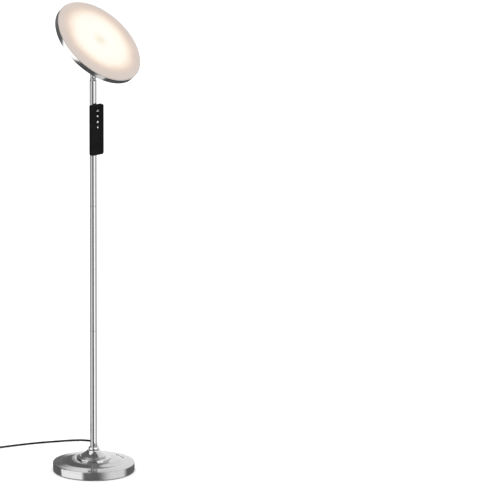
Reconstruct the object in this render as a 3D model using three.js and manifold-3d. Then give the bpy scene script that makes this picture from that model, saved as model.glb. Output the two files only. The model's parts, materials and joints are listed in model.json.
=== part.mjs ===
// Torchiere floor lamp with a magnetic remote control, as an assembly of separate solids.
// Millimetres, +Z up. The origin is on the floor, at the centre of the base, on the pole's axis.
// The cord leaves the base towards +Y.

import * as THREE from 'three';
import { mergeVertices } from 'three/addons/utils/BufferGeometryUtils.js';
import Module from 'manifold-3d';

const wasm = await Module();
wasm.setup();

// Clearance between pieces that touch on the real lamp.
const GAP = 0.3;

// Sides of the polygon that stands for a large circle. Pieces that nest share it.
const ROUND_SIDES = 48;

// Base
const BASE_RADIUS = 132.5;
const BASE_RIM_TOP = 29;
const BASE_HUB_RADIUS = 60;
const BASE_HUB_TOP = 42;
const COVER_SHOULDER = 129.5;
const COVER_WALL = 1.2;
const PAD_RADIUS = 124;
const PAD_THICKNESS = 2;
const PLATE_RADIUS = BASE_RADIUS - COVER_WALL - 1;
const PLATE_THICKNESS = 1.8;
const WEIGHT_RADIUS = 118;
const WEIGHT_TOP = 17.5;
const WEIGHT_BOSS_RADIUS = 30;
const WEIGHT_POCKET_RADIUS = 17;
const WEIGHT_POCKET_TOP = 14.5;
const LEAD_CHANNEL_WIDTH = 8;
const LEAD_CHANNEL_TOP = 12;
const STEP_RING_RADIUS = 56;
const STEP_RING_TOP = 51;
const BELL_TOP = 70;
const BEAD_TOP = 80.6;

// The touch bar follows a circle about the pole, at the right and to the rear. Its top stands
// a little proud of the cover, and it leans with the cover's slope.
const TOUCH_RADIUS = 98.5;
const TOUCH_HEADING = THREE.MathUtils.degToRad(31);
const TOUCH_LENGTH = 48;
const TOUCH_WIDTH = 3.4;
const TOUCH_THICKNESS = 2.6;
const TOUCH_LEAN = THREE.MathUtils.degToRad(11);
const TOUCH_PROUD = 0.3;

// Pole, in three screwed sections, and the stud that holds it to the base
const POLE_RADIUS = 11.5;
const POLE_WALL = 1;
const POLE_FOOT = STEP_RING_TOP + GAP;
const POLE_TOP = 1308;
const POLE_SECTIONS = ['pole_lower', 'pole_middle', 'pole_upper'];
const COUPLER_LENGTH = 50;
const COUPLER_BORE = 6.5;
const FOOT_BUSH_LENGTH = 26;
const STUD_RADIUS = 5;
const STUD_HOLE = STUD_RADIUS + 0.5;
const STUD_BORE = 3.4;
const STUD_FOOT = 9.9;
const STUD_TOP = 112;
const TOP_BUSH_LENGTH = 26;

// Low-voltage lead inside the base and the pole, with its plug-in connector
const LEAD_RADIUS = 1.8;
const CONNECTOR_RADIUS = 4.6;
const CONNECTOR_FOOT = 119.5;
const CONNECTOR_TOP = 150;
const LEAD_TOP = 1372;

// Neck and the two head joints
const NECK_RADIUS = 9.3;
const NECK_WALL = 1.7;
const NECK_SEAM = 1317;
const NECK_TOP = 1400;
const NECK_FLOOR = 4;
const SWIVEL_STUD_RADIUS = 4.6;
const SWIVEL_STUD_BORE = 3;
const SWIVEL_STUD_FOOT = 1270;
const SWIVEL_HOLE = 5;
const TILT_PIVOT = 1416;
const TONGUE_RADIUS = 8.5;
const TONGUE_THICKNESS = 8;
const TILT_BOLT_RADIUS = 3;
const TILT_HOLE = 3.4;
const FRICTION_WASHER = 0.8;
const EAR_OFFSET = TONGUE_THICKNESS / 2 + 1.4;
const EAR_THICKNESS = 3;
const HEAD_HEADING = THREE.MathUtils.degToRad(-33.5);
const HEAD_TILT = THREE.MathUtils.degToRad(42.7);

// Head, measured from the tilt pivot along the head's own axis
const HEAD_RADIUS = 161.5;
const HEAD_WALL = 1.6;
const HUMP_FACE = 12.5;
const HUMP_RADIUS = 56;
const HEAD_BACK = 18.5;
const HEAD_LIP = 35.5;
const DIFFUSER_FOOT = 30;
const DIFFUSER_TOP = 43;
const BRACKET_PLATE = 2;
const BRACKET_SCREW_PLACE = 14.5;
const BRACKET_SCREW_RADIUS = 1.6;
const LEAD_HOLE = 5;
const LED_BOARD_RADIUS = 150;
const DRIVER_BOARD_RADIUS = 44;
const BOARD_THICKNESS = 1.6;

// Remote control, held on the pole by two magnets
const REMOTE_WIDTH = 50;
const REMOTE_HEIGHT = 168;
const REMOTE_CORNER = 6;
const REMOTE_WALL = 1.6;
const REMOTE_BACK = POLE_RADIUS + GAP;
const REMOTE_SPLIT = REMOTE_BACK + 6.5;
const REMOTE_FACE = REMOTE_BACK + 13;
const REMOTE_CENTRE_HEIGHT = 1147;
const REMOTE_HEADING = THREE.MathUtils.degToRad(36);
const BUTTON_RADIUS = 5.5;
const TRAY_WIDTH = 26;
const TRAY_LENGTH = 30;
const COIN_CELL_RADIUS = 10;
const MAGNET_RADIUS = 6;
const MAGNET_PLACES = { remote_magnet_upper: 52, remote_magnet_lower: -36 };

// Heights of the buttons and the indicator, from the remote's centre
const BUTTON_PLACES = {
  button_power: 64.5,
  button_tone: 46.5,
  button_brighter: 27,
  button_dimmer: 9,
};
const INDICATOR_PLACE = 76.5;
const INDICATOR_RADIUS = 1.4;

// Power cord
const CORD_RADIUS = 3;
const CORD_SIDES = 10;
const CORD_EXIT_HEIGHT = 11.6;
const CORD_HOLE = 6;
const GROMMET_END = 158;
const COIL_CENTRE = [-354, 193];
const COIL_RADIUS_OUTER = 47;
const COIL_RADIUS_INNER = 23.8;
const COIL_BOTTOM = 1.6;
const COIL_TOP = 14.2;

const CORD_RUN_ROUTE = [
  [0, 158.3, 11.6],
  [1, 176, 10.6],
  [3, 194, 8],
  [4, 212, 5.2],
  [5, 232, 3.5],
  [6, 255, 3.2],
  [6.5, 280, 3.2],
  [6, 303, 3.2],
  [3, 321, 3.2],
  [-5, 335, 3.2],
  [-19, 345, 3.2],
  [-38, 349.5, 3.2],
  [-60, 349.5, 3.2],
  [-84, 345.5, 3.2],
  [-109, 339, 3.2],
  [-141, 330.5, 3.2],
  [-173, 321, 3.2],
  [-206, 309.5, 3.2],
  [-238, 296, 3.2],
  [-271, 281, 3.2],
  [-303, 265.5, 3.3],
  [-326, 254, 3.6],
  [-347, 244.5, 4.1],
];

const CORD_TAIL_ROUTE = [
  [-397.5, 166, 9.2],
  [-396, 154, 8.2],
  [-391, 141, 8.2],
  [-385, 130, 9.2],
  [-380.8, 121, 10.8],
  [-380, 113.8, 11],
];

// Power adapter, lying beside the coil
const ADAPTER_CENTRE_X = -380;
const ADAPTER_REAR = 88;
const ADAPTER_LENGTH = 64;
const ADAPTER_WIDTH = 42;
const ADAPTER_HEIGHT = 29;
const ADAPTER_CORD_HEIGHT = 11;
const ADAPTER_RELIEF_LENGTH = 25;
const BLADE_SPACING = 12.7;
const BLADE_LENGTH = 17;
const BLADE_WIDTH = 6.4;
const BLADE_THICKNESS = 1.5;

const FINISHES = {
  brushedSteel: { color: 0xb4b4b4, roughness: 0.34, metalness: 1 },
  polishedSteel: { color: 0xd2d2d2, roughness: 0.12, metalness: 1 },
  plainSteel: { color: 0x9a9a9c, roughness: 0.5, metalness: 1 },
  brass: { color: 0xb99a5b, roughness: 0.4, metalness: 1 },
  castIron: { color: 0x3d3c3b, roughness: 0.9, metalness: 0.4 },
  aluminium: { color: 0xc2c3c5, roughness: 0.45, metalness: 1 },
  diffuser: { color: 0xf4e3d3, roughness: 0.55, metalness: 0 },
  circuitBoard: { color: 0x1f5a35, roughness: 0.6, metalness: 0 },
  blackRubber: { color: 0x151515, roughness: 0.7, metalness: 0 },
  blackPlastic: { color: 0x1b1b1c, roughness: 0.4, metalness: 0 },
  buttonPlastic: { color: 0x101011, roughness: 0.5, metalness: 0 },
  nylon: { color: 0x2a2a2a, roughness: 0.6, metalness: 0 },
  foam: { color: 0x232323, roughness: 0.95, metalness: 0 },
  smokedLens: { color: 0x2b1416, roughness: 0.2, metalness: 0 },
};

// ---------------------------------------------------------------- helpers

function piece(name, finish, geometry) {
  const mesh = new THREE.Mesh(geometry, new THREE.MeshStandardMaterial(FINISHES[finish]));
  mesh.name = name;
  return mesh;
}

// A solid turned about Z. The profile is a list of [radius, height], anticlockwise with
// radius to the right and height up; a ring's profile is closed here.
function turned(profile, sides = 20) {
  const points = profile.map(([radius, height]) => new THREE.Vector2(radius, height));
  const last = points[points.length - 1];
  if (points[0].x > 0 || last.x > 0) {
    points.push(points[0].clone());
  }
  return new THREE.LatheGeometry(points, sides).rotateX(Math.PI / 2);
}

function tube(outer, inner, bottom, top, sides = 20) {
  return turned([[inner, bottom], [outer, bottom], [outer, top], [inner, top]], sides);
}

function disc(radius, bottom, top, sides = 20) {
  return turned([[0, bottom], [radius, bottom], [radius, top], [0, top]], sides);
}

function box(width, depth, height, x, y, z) {
  return new THREE.BoxGeometry(width, depth, height).translate(x, y, z);
}

// A flat outline pushed up from z = bottom to z = top.
function pushed(shape, bottom, top, curveSegments = 3) {
  const settings = { depth: top - bottom, bevelEnabled: false, curveSegments };
  return new THREE.ExtrudeGeometry(shape, settings).translate(0, 0, bottom);
}

function roundedRectangle(width, height, radius) {
  const x = width / 2 - radius;
  const y = height / 2 - radius;
  const shape = new THREE.Shape();
  shape.absarc(x, y, radius, 0, Math.PI / 2);
  shape.absarc(-x, y, radius, Math.PI / 2, Math.PI);
  shape.absarc(-x, -y, radius, Math.PI, Math.PI * 1.5);
  shape.absarc(x, -y, radius, Math.PI * 1.5, Math.PI * 2);
  return shape;
}

function hexagon(cornerRadius, holeRadius) {
  const corners = [];
  for (let i = 0; i < 6; i += 1) {
    const angle = (i * Math.PI) / 3;
    corners.push(new THREE.Vector2(Math.cos(angle), Math.sin(angle)).multiplyScalar(cornerRadius));
  }
  const shape = new THREE.Shape(corners);
  if (holeRadius) {
    shape.holes.push(new THREE.Path().absarc(0, 0, holeRadius, 0, Math.PI * 2, true));
  }
  return shape;
}

function solidOf(geometry) {
  const bare = geometry.clone();
  bare.deleteAttribute('normal');
  bare.deleteAttribute('uv');
  const merged = mergeVertices(bare, 1e-4);
  const numbers = {
    numProp: 3,
    vertProperties: new Float32Array(merged.attributes.position.array),
    triVerts: new Uint32Array(merged.index.array),
  };
  return new wasm.Manifold(new wasm.Mesh(numbers));
}

function geometryOf(solid) {
  const mesh = solid.getMesh();
  const geometry = new THREE.BufferGeometry();
  geometry.setAttribute('position', new THREE.BufferAttribute(mesh.vertProperties, 3));
  geometry.setIndex(new THREE.BufferAttribute(mesh.triVerts, 1));
  return geometry;
}

function cut(geometry, ...tools) {
  return geometryOf(tools.reduce((solid, tool) => solid.subtract(solidOf(tool)), solidOf(geometry)));
}

function joined(geometry, ...others) {
  return geometryOf(others.reduce((solid, other) => solid.add(solidOf(other)), solidOf(geometry)));
}

// A round cable along a smooth curve through the points.
function cable(route, radius, sides, steps) {
  const section = [];
  for (let i = 0; i < sides; i += 1) {
    const angle = (i * Math.PI * 2) / sides;
    section.push(new THREE.Vector2(radius * Math.cos(angle), radius * Math.sin(angle)));
  }
  const points = route.map((place) => new THREE.Vector3(...place));
  const curve = new THREE.CatmullRomCurve3(points, false, 'centripetal');
  const settings = { steps, extrudePath: curve, bevelEnabled: false };
  return new THREE.ExtrudeGeometry(new THREE.Shape(section), settings);
}

// ---------------------------------------------------------------- base

// Height of the cover's top face at a radius: flat near the rim, rising to the hub in a soft hollow.
function coverHeight(radius) {
  const share = (COVER_SHOULDER - radius) / (COVER_SHOULDER - BASE_HUB_RADIUS);
  const eased = share * share * (3 - 2 * share) * 0.55 + share * 0.45;
  return BASE_RIM_TOP + eased * (BASE_HUB_TOP - BASE_RIM_TOP);
}

function baseCover() {
  const bottom = PAD_THICKNESS + GAP;
  const outer = [[BASE_RADIUS, bottom], [BASE_RADIUS, BASE_RIM_TOP - 2.5]];
  const inner = [];
  const topSteps = 4;
  for (let i = 0; i <= topSteps; i += 1) {
    const radius = COVER_SHOULDER - (i / topSteps) * (COVER_SHOULDER - BASE_HUB_RADIUS);
    outer.push([radius, coverHeight(radius)]);
    inner.unshift([radius, coverHeight(radius) - COVER_WALL]);
  }
  outer.push([STUD_HOLE, BASE_HUB_TOP]);
  inner.unshift([STUD_HOLE, BASE_HUB_TOP - COVER_WALL]);
  inner.push([BASE_RADIUS - COVER_WALL, BASE_RIM_TOP - 3], [BASE_RADIUS - COVER_WALL, bottom]);
  const shell = turned([...outer, ...inner], ROUND_SIDES);
  const cordHole = new THREE.CylinderGeometry(CORD_HOLE, CORD_HOLE, 12, 16);
  cordHole.translate(0, BASE_RADIUS, CORD_EXIT_HEIGHT);
  const cover = cut(shell, cordHole, touchBarBlock(GAP, 12));
  return piece('base_cover', 'brushedSteel', cover);
}

function touchBarBlock(clearance, thickness) {
  const block = box(TOUCH_WIDTH + 2 * clearance, TOUCH_LENGTH + 2 * clearance, thickness, 0, 0, 0);
  block.rotateY(TOUCH_LEAN);
  block.translate(TOUCH_RADIUS, 0, coverHeight(TOUCH_RADIUS) - TOUCH_THICKNESS / 2 + TOUCH_PROUD);
  return block.rotateZ(TOUCH_HEADING);
}

function touchBoard() {
  const thickness = 1.4;
  const middle = coverHeight(TOUCH_RADIUS) - TOUCH_THICKNESS - thickness * 1.5;
  const board = box(14, TOUCH_LENGTH + 8, thickness, TOUCH_RADIUS, 0, middle);
  return piece('touch_board', 'circuitBoard', board.rotateZ(TOUCH_HEADING));
}

// A disc with a boss in its middle that carries the cover's hub, and a pocket under the boss
// for the nut. The low-voltage lead runs in a channel from the rear edge to the pocket.
function baseWeight() {
  const bottom = PAD_THICKNESS + GAP + PLATE_THICKNESS + GAP;
  const bossTop = BASE_HUB_TOP - COVER_WALL - GAP;
  const body = turned([
    [STUD_HOLE, WEIGHT_POCKET_TOP],
    [WEIGHT_POCKET_RADIUS, WEIGHT_POCKET_TOP],
    [WEIGHT_POCKET_RADIUS, bottom],
    [WEIGHT_RADIUS, bottom],
    [WEIGHT_RADIUS, WEIGHT_TOP],
    [WEIGHT_BOSS_RADIUS, WEIGHT_TOP],
    [WEIGHT_BOSS_RADIUS, bossTop],
    [STUD_HOLE, bossTop],
  ], ROUND_SIDES);
  const channelHeight = 2 * (LEAD_CHANNEL_TOP - bottom);
  const channelLength = WEIGHT_RADIUS + 10;
  const channelMiddle = channelLength / 2 + 2;
  const channel = box(LEAD_CHANNEL_WIDTH, channelLength, channelHeight, 0, channelMiddle, bottom);
  return piece('base_weight', 'castIron', cut(body, channel));
}

function baseFastening() {
  const washerTop = WEIGHT_POCKET_TOP - GAP;
  const washerBottom = washerTop - 1.2;
  const nutTop = washerBottom - GAP;
  const nutHeight = 3.4;
  const nut = pushed(hexagon(9, STUD_HOLE), nutTop - nutHeight, nutTop, 8);
  return [
    piece('base_stud', 'plainSteel', tube(STUD_RADIUS, STUD_BORE, STUD_FOOT, STUD_TOP)),
    piece('base_washer', 'plainSteel', tube(14, STUD_HOLE, washerBottom, washerTop)),
    piece('base_nut', 'plainSteel', nut),
  ];
}

// The ring stands on the cover's hub and carries the pole. The bell and the bead slide down
// over the pole and hide the joint.
function baseTrim() {
  const ringBottom = BASE_HUB_TOP + GAP;
  const bellBottom = STEP_RING_TOP + GAP;
  const bore = POLE_RADIUS + GAP;
  const stepRing = turned([
    [STUD_HOLE, ringBottom],
    [STEP_RING_RADIUS, ringBottom],
    [STEP_RING_RADIUS, 45],
    [STEP_RING_RADIUS - 2, 46.8],
    [46.5, 47.2],
    [45, 50],
    [43, STEP_RING_TOP],
    [STUD_HOLE, STEP_RING_TOP],
  ], 32);
  const bell = turned([
    [bore, bellBottom],
    [41.5, bellBottom],
    [41.5, bellBottom + 1.3],
    [37, 55],
    [32, 58.4],
    [27.4, 62.8],
    [24.2, 66.6],
    [21.6, BELL_TOP],
    [bore, BELL_TOP],
  ], 28);
  const beadBottom = BELL_TOP + GAP;
  const beadMiddle = (beadBottom + BEAD_TOP) / 2;
  const bead = turned([
    [bore, beadBottom],
    [15, beadBottom],
    [17.2, beadMiddle - 1.8],
    [17.2, beadMiddle + 1.8],
    [15, BEAD_TOP],
    [bore, BEAD_TOP],
  ], 24);
  return [
    piece('base_step_ring', 'polishedSteel', stepRing),
    piece('base_bell', 'polishedSteel', bell),
    piece('base_bead', 'polishedSteel', bead),
  ];
}

function base() {
  const plateBottom = PAD_THICKNESS + GAP;
  const plate = disc(PLATE_RADIUS, plateBottom, plateBottom + PLATE_THICKNESS, ROUND_SIDES);
  const group = new THREE.Group();
  group.add(piece('base_pad', 'foam', disc(PAD_RADIUS, 0, PAD_THICKNESS, ROUND_SIDES)));
  group.add(piece('base_plate', 'plainSteel', plate));
  group.add(baseWeight(), baseCover(), ...baseFastening(), ...baseTrim());
  group.add(piece('touch_bar', 'blackPlastic', touchBarBlock(0, TOUCH_THICKNESS)), touchBoard());
  return group;
}

// ---------------------------------------------------------------- pole

function pole() {
  const group = new THREE.Group();
  const bore = POLE_RADIUS - POLE_WALL;
  const sectionLength = (POLE_TOP - POLE_FOOT) / POLE_SECTIONS.length;
  POLE_SECTIONS.forEach((name, i) => {
    const bottom = POLE_FOOT + i * sectionLength + GAP / 2;
    const top = POLE_FOOT + (i + 1) * sectionLength - GAP / 2;
    group.add(piece(name, 'brushedSteel', tube(POLE_RADIUS, bore, bottom, top)));
  });
  ['pole_coupler_lower', 'pole_coupler_upper'].forEach((name, i) => {
    const seam = POLE_FOOT + (i + 1) * sectionLength;
    const bottom = seam - COUPLER_LENGTH / 2;
    const coupler = tube(bore - GAP, COUPLER_BORE, bottom, bottom + COUPLER_LENGTH);
    group.add(piece(name, 'plainSteel', coupler));
  });
  const footBushTop = STUD_TOP - 2;
  const footBush = tube(bore - GAP, STUD_HOLE, footBushTop - FOOT_BUSH_LENGTH, footBushTop);
  group.add(piece('pole_foot_bush', 'brass', footBush));
  group.add(poleTopBush(bore - GAP));
  return group;
}

// It closes the pole's top end with a small flare, and the neck turns on it.
function poleTopBush(plugRadius) {
  const bottom = POLE_TOP - TOP_BUSH_LENGTH;
  const top = NECK_SEAM - 0.5;
  const bush = turned([
    [SWIVEL_HOLE, bottom],
    [plugRadius, bottom],
    [plugRadius, POLE_TOP + GAP],
    [POLE_RADIUS - 0.5, POLE_TOP + GAP],
    [POLE_RADIUS - 0.6, POLE_TOP + 1.2],
    [NECK_RADIUS + 0.2, POLE_TOP + 4],
    [NECK_RADIUS, top],
    [SWIVEL_HOLE, top],
  ]);
  return piece('pole_top_bush', 'polishedSteel', bush);
}

function internalLead() {
  const route = [
    [0, 126.8, 11.6],
    [0, 121, 10],
    [0, 112, 7.4],
    [0, 60, 7],
    [0, 22, 6.4],
    [0, 9, 6.2],
    [0, 2.8, 7],
    [0, 0.3, 10.2],
    [0, 0, 17],
    [0, 0, 60],
    [0, 0, CONNECTOR_FOOT - 0.5],
  ];
  const connector = disc(CONNECTOR_RADIUS, CONNECTOR_FOOT, CONNECTOR_TOP, 12);
  const group = new THREE.Group();
  group.add(piece('base_lead', 'blackRubber', cable(route, LEAD_RADIUS, 8, 40)));
  group.add(piece('lead_connector', 'blackPlastic', connector));
  group.add(piece('pole_lead', 'blackRubber', disc(LEAD_RADIUS, CONNECTOR_TOP + 0.5, LEAD_TOP, 8)));
  return group;
}

// ---------------------------------------------------------------- neck

function neck() {
  const bore = NECK_RADIUS - NECK_WALL;
  const washerBottom = NECK_SEAM - 0.2;
  const washerTop = NECK_SEAM + 0.6;
  const floorBottom = washerTop + GAP;
  const floorTop = floorBottom + NECK_FLOOR;
  const headBottom = floorTop + GAP;
  const headTop = headBottom + 3.7;
  const nutTop = POLE_TOP - TOP_BUSH_LENGTH - GAP - 0.1;
  const nutHeight = 6.6;
  const neckTube = turned([
    [SWIVEL_HOLE, floorBottom],
    [NECK_RADIUS, floorBottom],
    [NECK_RADIUS, NECK_TOP],
    [bore, NECK_TOP],
    [bore, floorTop],
    [SWIVEL_HOLE, floorTop],
  ]);
  const stud = turned([
    [SWIVEL_STUD_BORE, SWIVEL_STUD_FOOT],
    [SWIVEL_STUD_RADIUS, SWIVEL_STUD_FOOT],
    [SWIVEL_STUD_RADIUS, headBottom],
    [7, headBottom],
    [7, headTop],
    [SWIVEL_STUD_BORE, headTop],
  ]);
  const washer = tube(NECK_RADIUS - 0.4, SWIVEL_HOLE, washerBottom, washerTop);
  const nut = pushed(hexagon(8.6, SWIVEL_HOLE), nutTop - nutHeight, nutTop, 8);
  const group = new THREE.Group();
  group.add(piece('neck_tube', 'brushedSteel', neckTube));
  group.add(piece('neck_washer', 'nylon', washer));
  group.add(piece('swivel_stud', 'plainSteel', stud));
  group.add(piece('swivel_nut', 'plainSteel', nut));
  group.add(piece('neck_knuckle', 'polishedSteel', knuckle()));
  group.rotation.z = HEAD_HEADING;
  return group;
}

// A plug that closes the neck's top end, with the flat tongue that the head turns on.
function knuckle() {
  const plugRadius = NECK_RADIUS - NECK_WALL - GAP;
  const plugFoot = NECK_TOP - 22;
  const plug = turned([
    [0, plugFoot],
    [plugRadius, plugFoot],
    [plugRadius, NECK_TOP + GAP],
    [NECK_RADIUS, NECK_TOP + GAP],
    [NECK_RADIUS, NECK_TOP + 2],
    [0, NECK_TOP + 2],
  ]);
  const tongue = earShape(TONGUE_RADIUS, TILT_PIVOT - NECK_TOP - 1);
  const upright = pushed(tongue, -TONGUE_THICKNESS / 2, TONGUE_THICKNESS / 2, 8)
    .rotateX(Math.PI / 2)
    .rotateY(Math.PI)
    .translate(0, 0, TILT_PIVOT);
  return joined(plug, upright);
}

// A rounded ear about the origin, with a pin hole, that runs up to height `reach`.
function earShape(radius, reach) {
  const shape = new THREE.Shape();
  shape.moveTo(radius, reach);
  shape.lineTo(-radius, reach);
  shape.lineTo(-radius, 0);
  shape.absarc(0, 0, radius, Math.PI, Math.PI * 2);
  shape.lineTo(radius, reach);
  shape.holes.push(new THREE.Path().absarc(0, 0, TILT_HOLE, 0, Math.PI * 2, true));
  return shape;
}

// ---------------------------------------------------------------- head

function head() {
  const group = new THREE.Group();
  group.add(headHousing(), headBracket(), ...hingeHardware(), ...headElectronics(), diffuser());
  group.rotation.y = HEAD_TILT;
  group.position.z = TILT_PIVOT;
  const turnedGroup = new THREE.Group();
  turnedGroup.add(group);
  turnedGroup.rotation.z = HEAD_HEADING;
  return turnedGroup;
}

// A spun dish. The raised middle of its back makes room for the driver board.
function headHousing() {
  const humpWall = HUMP_FACE + HEAD_WALL;
  const backWall = HEAD_BACK + HEAD_WALL;
  const shell = turned([
    [LEAD_HOLE, HUMP_FACE],
    [HUMP_RADIUS - 4, HUMP_FACE],
    [HUMP_RADIUS + 2, HEAD_BACK],
    [HEAD_RADIUS - 2.5, HEAD_BACK],
    [HEAD_RADIUS, HEAD_BACK + 2.5],
    [HEAD_RADIUS, HEAD_LIP],
    [HEAD_RADIUS - HEAD_WALL, HEAD_LIP],
    [HEAD_RADIUS - HEAD_WALL, HEAD_BACK + 3],
    [HEAD_RADIUS - 3.2, backWall],
    [HUMP_RADIUS + 1.2, backWall],
    [HUMP_RADIUS - 4.8, humpWall],
    [LEAD_HOLE, humpWall],
  ], ROUND_SIDES);
  return piece('head_housing', 'brushedSteel', cut(shell, ...screwHoles(HUMP_FACE, humpWall)));
}

// Cutters for the two bracket screws, through a wall from z = bottom to z = top.
function screwHoles(bottom, top) {
  return [-1, 1].map((side) => {
    const hole = disc(BRACKET_SCREW_RADIUS + GAP, bottom - 1, top + 1, 12);
    return hole.translate(0, side * BRACKET_SCREW_PLACE, 0);
  });
}

function headBracket() {
  const plateTop = HUMP_FACE - GAP;
  const plateBottom = plateTop - BRACKET_PLATE;
  const plate = tube(20, LEAD_HOLE, plateBottom, plateTop);
  const ears = [-1, 1].map((side) => {
    const middle = EAR_OFFSET + EAR_THICKNESS / 2;
    const shape = earShape(TONGUE_RADIUS, plateTop - 0.5);
    const ear = pushed(shape, -EAR_THICKNESS / 2, EAR_THICKNESS / 2, 8);
    return ear.rotateX(Math.PI / 2).translate(0, side * middle, 0);
  });
  const bracket = cut(joined(plate, ...ears), ...screwHoles(plateBottom, plateTop));
  return piece('head_bracket', 'plainSteel', bracket);
}

// The tilt bolt runs along Y through both ears, with a friction washer on each side of the tongue.
function hingeHardware() {
  const washerInner = TONGUE_THICKNESS / 2 + GAP;
  const washerOuter = washerInner + FRICTION_WASHER;
  const earOuter = EAR_OFFSET + EAR_THICKNESS;
  const alongY = (geometry) => geometry.rotateX(Math.PI / 2);
  const bolt = turned([
    [0, -earOuter - GAP - 3],
    [6, -earOuter - GAP - 3],
    [6, -earOuter - GAP],
    [TILT_BOLT_RADIUS, -earOuter - GAP],
    [TILT_BOLT_RADIUS, earOuter + 5.2],
    [0, earOuter + 5.2],
  ]);
  const nut = pushed(hexagon(6, TILT_HOLE), earOuter + GAP, earOuter + GAP + 4, 8);
  const leftWasher = tube(7.5, TILT_HOLE, washerInner, washerOuter);
  const rightWasher = tube(7.5, TILT_HOLE, -washerOuter, -washerInner);
  return [
    piece('hinge_bolt', 'plainSteel', alongY(bolt)),
    piece('hinge_nut', 'plainSteel', alongY(nut)),
    piece('hinge_washer_left', 'nylon', alongY(leftWasher)),
    piece('hinge_washer_right', 'nylon', alongY(rightWasher)),
    bracketScrew('bracket_screw_left', 1),
    bracketScrew('bracket_screw_right', -1),
  ];
}

function bracketScrew(name, side) {
  const seat = HUMP_FACE - GAP - BRACKET_PLATE - GAP;
  const end = HUMP_FACE + HEAD_WALL + 1;
  const screw = turned([
    [0, seat - 2.1],
    [2, seat - 2.1],
    [3.2, seat - 0.9],
    [3.2, seat],
    [BRACKET_SCREW_RADIUS, seat],
    [BRACKET_SCREW_RADIUS, end],
    [0, end],
  ], 12);
  return piece(name, 'plainSteel', screw.translate(0, side * BRACKET_SCREW_PLACE, 0));
}

function headElectronics() {
  const ledBottom = HEAD_BACK + HEAD_WALL + GAP;
  const ledBoard = tube(LED_BOARD_RADIUS, 6, ledBottom, ledBottom + BOARD_THICKNESS, ROUND_SIDES);
  const driverBottom = HUMP_FACE + HEAD_WALL + BOARD_THICKNESS;
  const driverBoard = disc(DRIVER_BOARD_RADIUS, driverBottom, driverBottom + BOARD_THICKNESS, 32);
  return [
    piece('led_board', 'aluminium', ledBoard),
    piece('driver_board', 'circuitBoard', driverBoard),
  ];
}

// A shallow moulded dish with a rounded edge, set inside the housing's lip.
function diffuser() {
  const radius = HEAD_RADIUS - HEAD_WALL - 0.4;
  const wall = 2.4;
  const dish = turned([
    [0, DIFFUSER_TOP - wall],
    [radius - 10, DIFFUSER_TOP - wall - 1.4],
    [radius - wall, HEAD_LIP + 0.4],
    [radius - wall, DIFFUSER_FOOT],
    [radius, DIFFUSER_FOOT],
    [radius, HEAD_LIP + 1],
    [radius - 2.5, DIFFUSER_TOP - 3.4],
    [radius - 9, DIFFUSER_TOP - 1.4],
    [radius - 40, DIFFUSER_TOP - 0.6],
    [0, DIFFUSER_TOP],
  ], ROUND_SIDES);
  return piece('diffuser', 'diffuser', dish);
}

// ---------------------------------------------------------------- remote

// Remote pieces are drawn flat, with X across, Y up the remote and Z out of its face.
function remoteOutline(inset) {
  const width = REMOTE_WIDTH - 2 * inset;
  const height = REMOTE_HEIGHT - 2 * inset;
  return roundedRectangle(width, height, REMOTE_CORNER - inset);
}

function remoteFront() {
  const hole = (radius, place) => {
    return disc(radius, REMOTE_FACE - 4, REMOTE_FACE + 1, 16).translate(0, place, 0);
  };
  const buttonHoles = Object.values(BUTTON_PLACES).map((place) => hole(BUTTON_RADIUS + 0.4, place));
  return piece('remote_front', 'blackPlastic', cut(
    pushed(remoteOutline(0), REMOTE_SPLIT + GAP, REMOTE_FACE),
    pushed(remoteOutline(REMOTE_WALL), REMOTE_SPLIT - 1, REMOTE_FACE - REMOTE_WALL),
    ...buttonHoles,
    hole(INDICATOR_RADIUS + GAP, INDICATOR_PLACE),
  ));
}

// The slot in its lower end lets the battery tray out.
function remoteBack() {
  const slotBottom = REMOTE_BACK + REMOTE_WALL;
  const slotHeight = 10;
  const slotMiddle = slotBottom + slotHeight / 2;
  return piece('remote_back', 'blackPlastic', cut(
    pushed(remoteOutline(0), REMOTE_BACK, REMOTE_SPLIT),
    pushed(remoteOutline(REMOTE_WALL), slotBottom, REMOTE_SPLIT + 1),
    box(TRAY_WIDTH + 2 * GAP, 10, slotHeight, 0, -REMOTE_HEIGHT / 2, slotMiddle),
  ));
}

function remoteButton(name, place) {
  const back = REMOTE_SPLIT + 2.5;
  const flangeTop = REMOTE_FACE - REMOTE_WALL - GAP;
  const cap = turned([
    [0, back],
    [BUTTON_RADIUS + 1.4, back],
    [BUTTON_RADIUS + 1.4, flangeTop],
    [BUTTON_RADIUS, flangeTop],
    [BUTTON_RADIUS, REMOTE_FACE + 0.3],
    [BUTTON_RADIUS - 0.4, REMOTE_FACE + 0.6],
    [0, REMOTE_FACE + 0.6],
  ], 16);
  return piece(name, 'buttonPlastic', cap.translate(0, place, 0));
}

function batteryTray() {
  const bottom = REMOTE_BACK + REMOTE_WALL + GAP;
  const top = REMOTE_SPLIT - GAP;
  const middle = -REMOTE_HEIGHT / 2 + TRAY_LENGTH / 2;
  const block = box(TRAY_WIDTH, TRAY_LENGTH, top - bottom, 0, middle, (top + bottom) / 2);
  const pocketFloor = bottom + 0.8;
  const pocket = disc(COIN_CELL_RADIUS + 0.4, pocketFloor, top + 1, 24).translate(0, middle + 2, 0);
  const cell = disc(COIN_CELL_RADIUS, pocketFloor + GAP, top - 0.1, 24).translate(0, middle + 2, 0);
  return [
    piece('battery_tray', 'blackPlastic', cut(block, pocket)),
    piece('coin_cell', 'plainSteel', cell),
  ];
}

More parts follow.
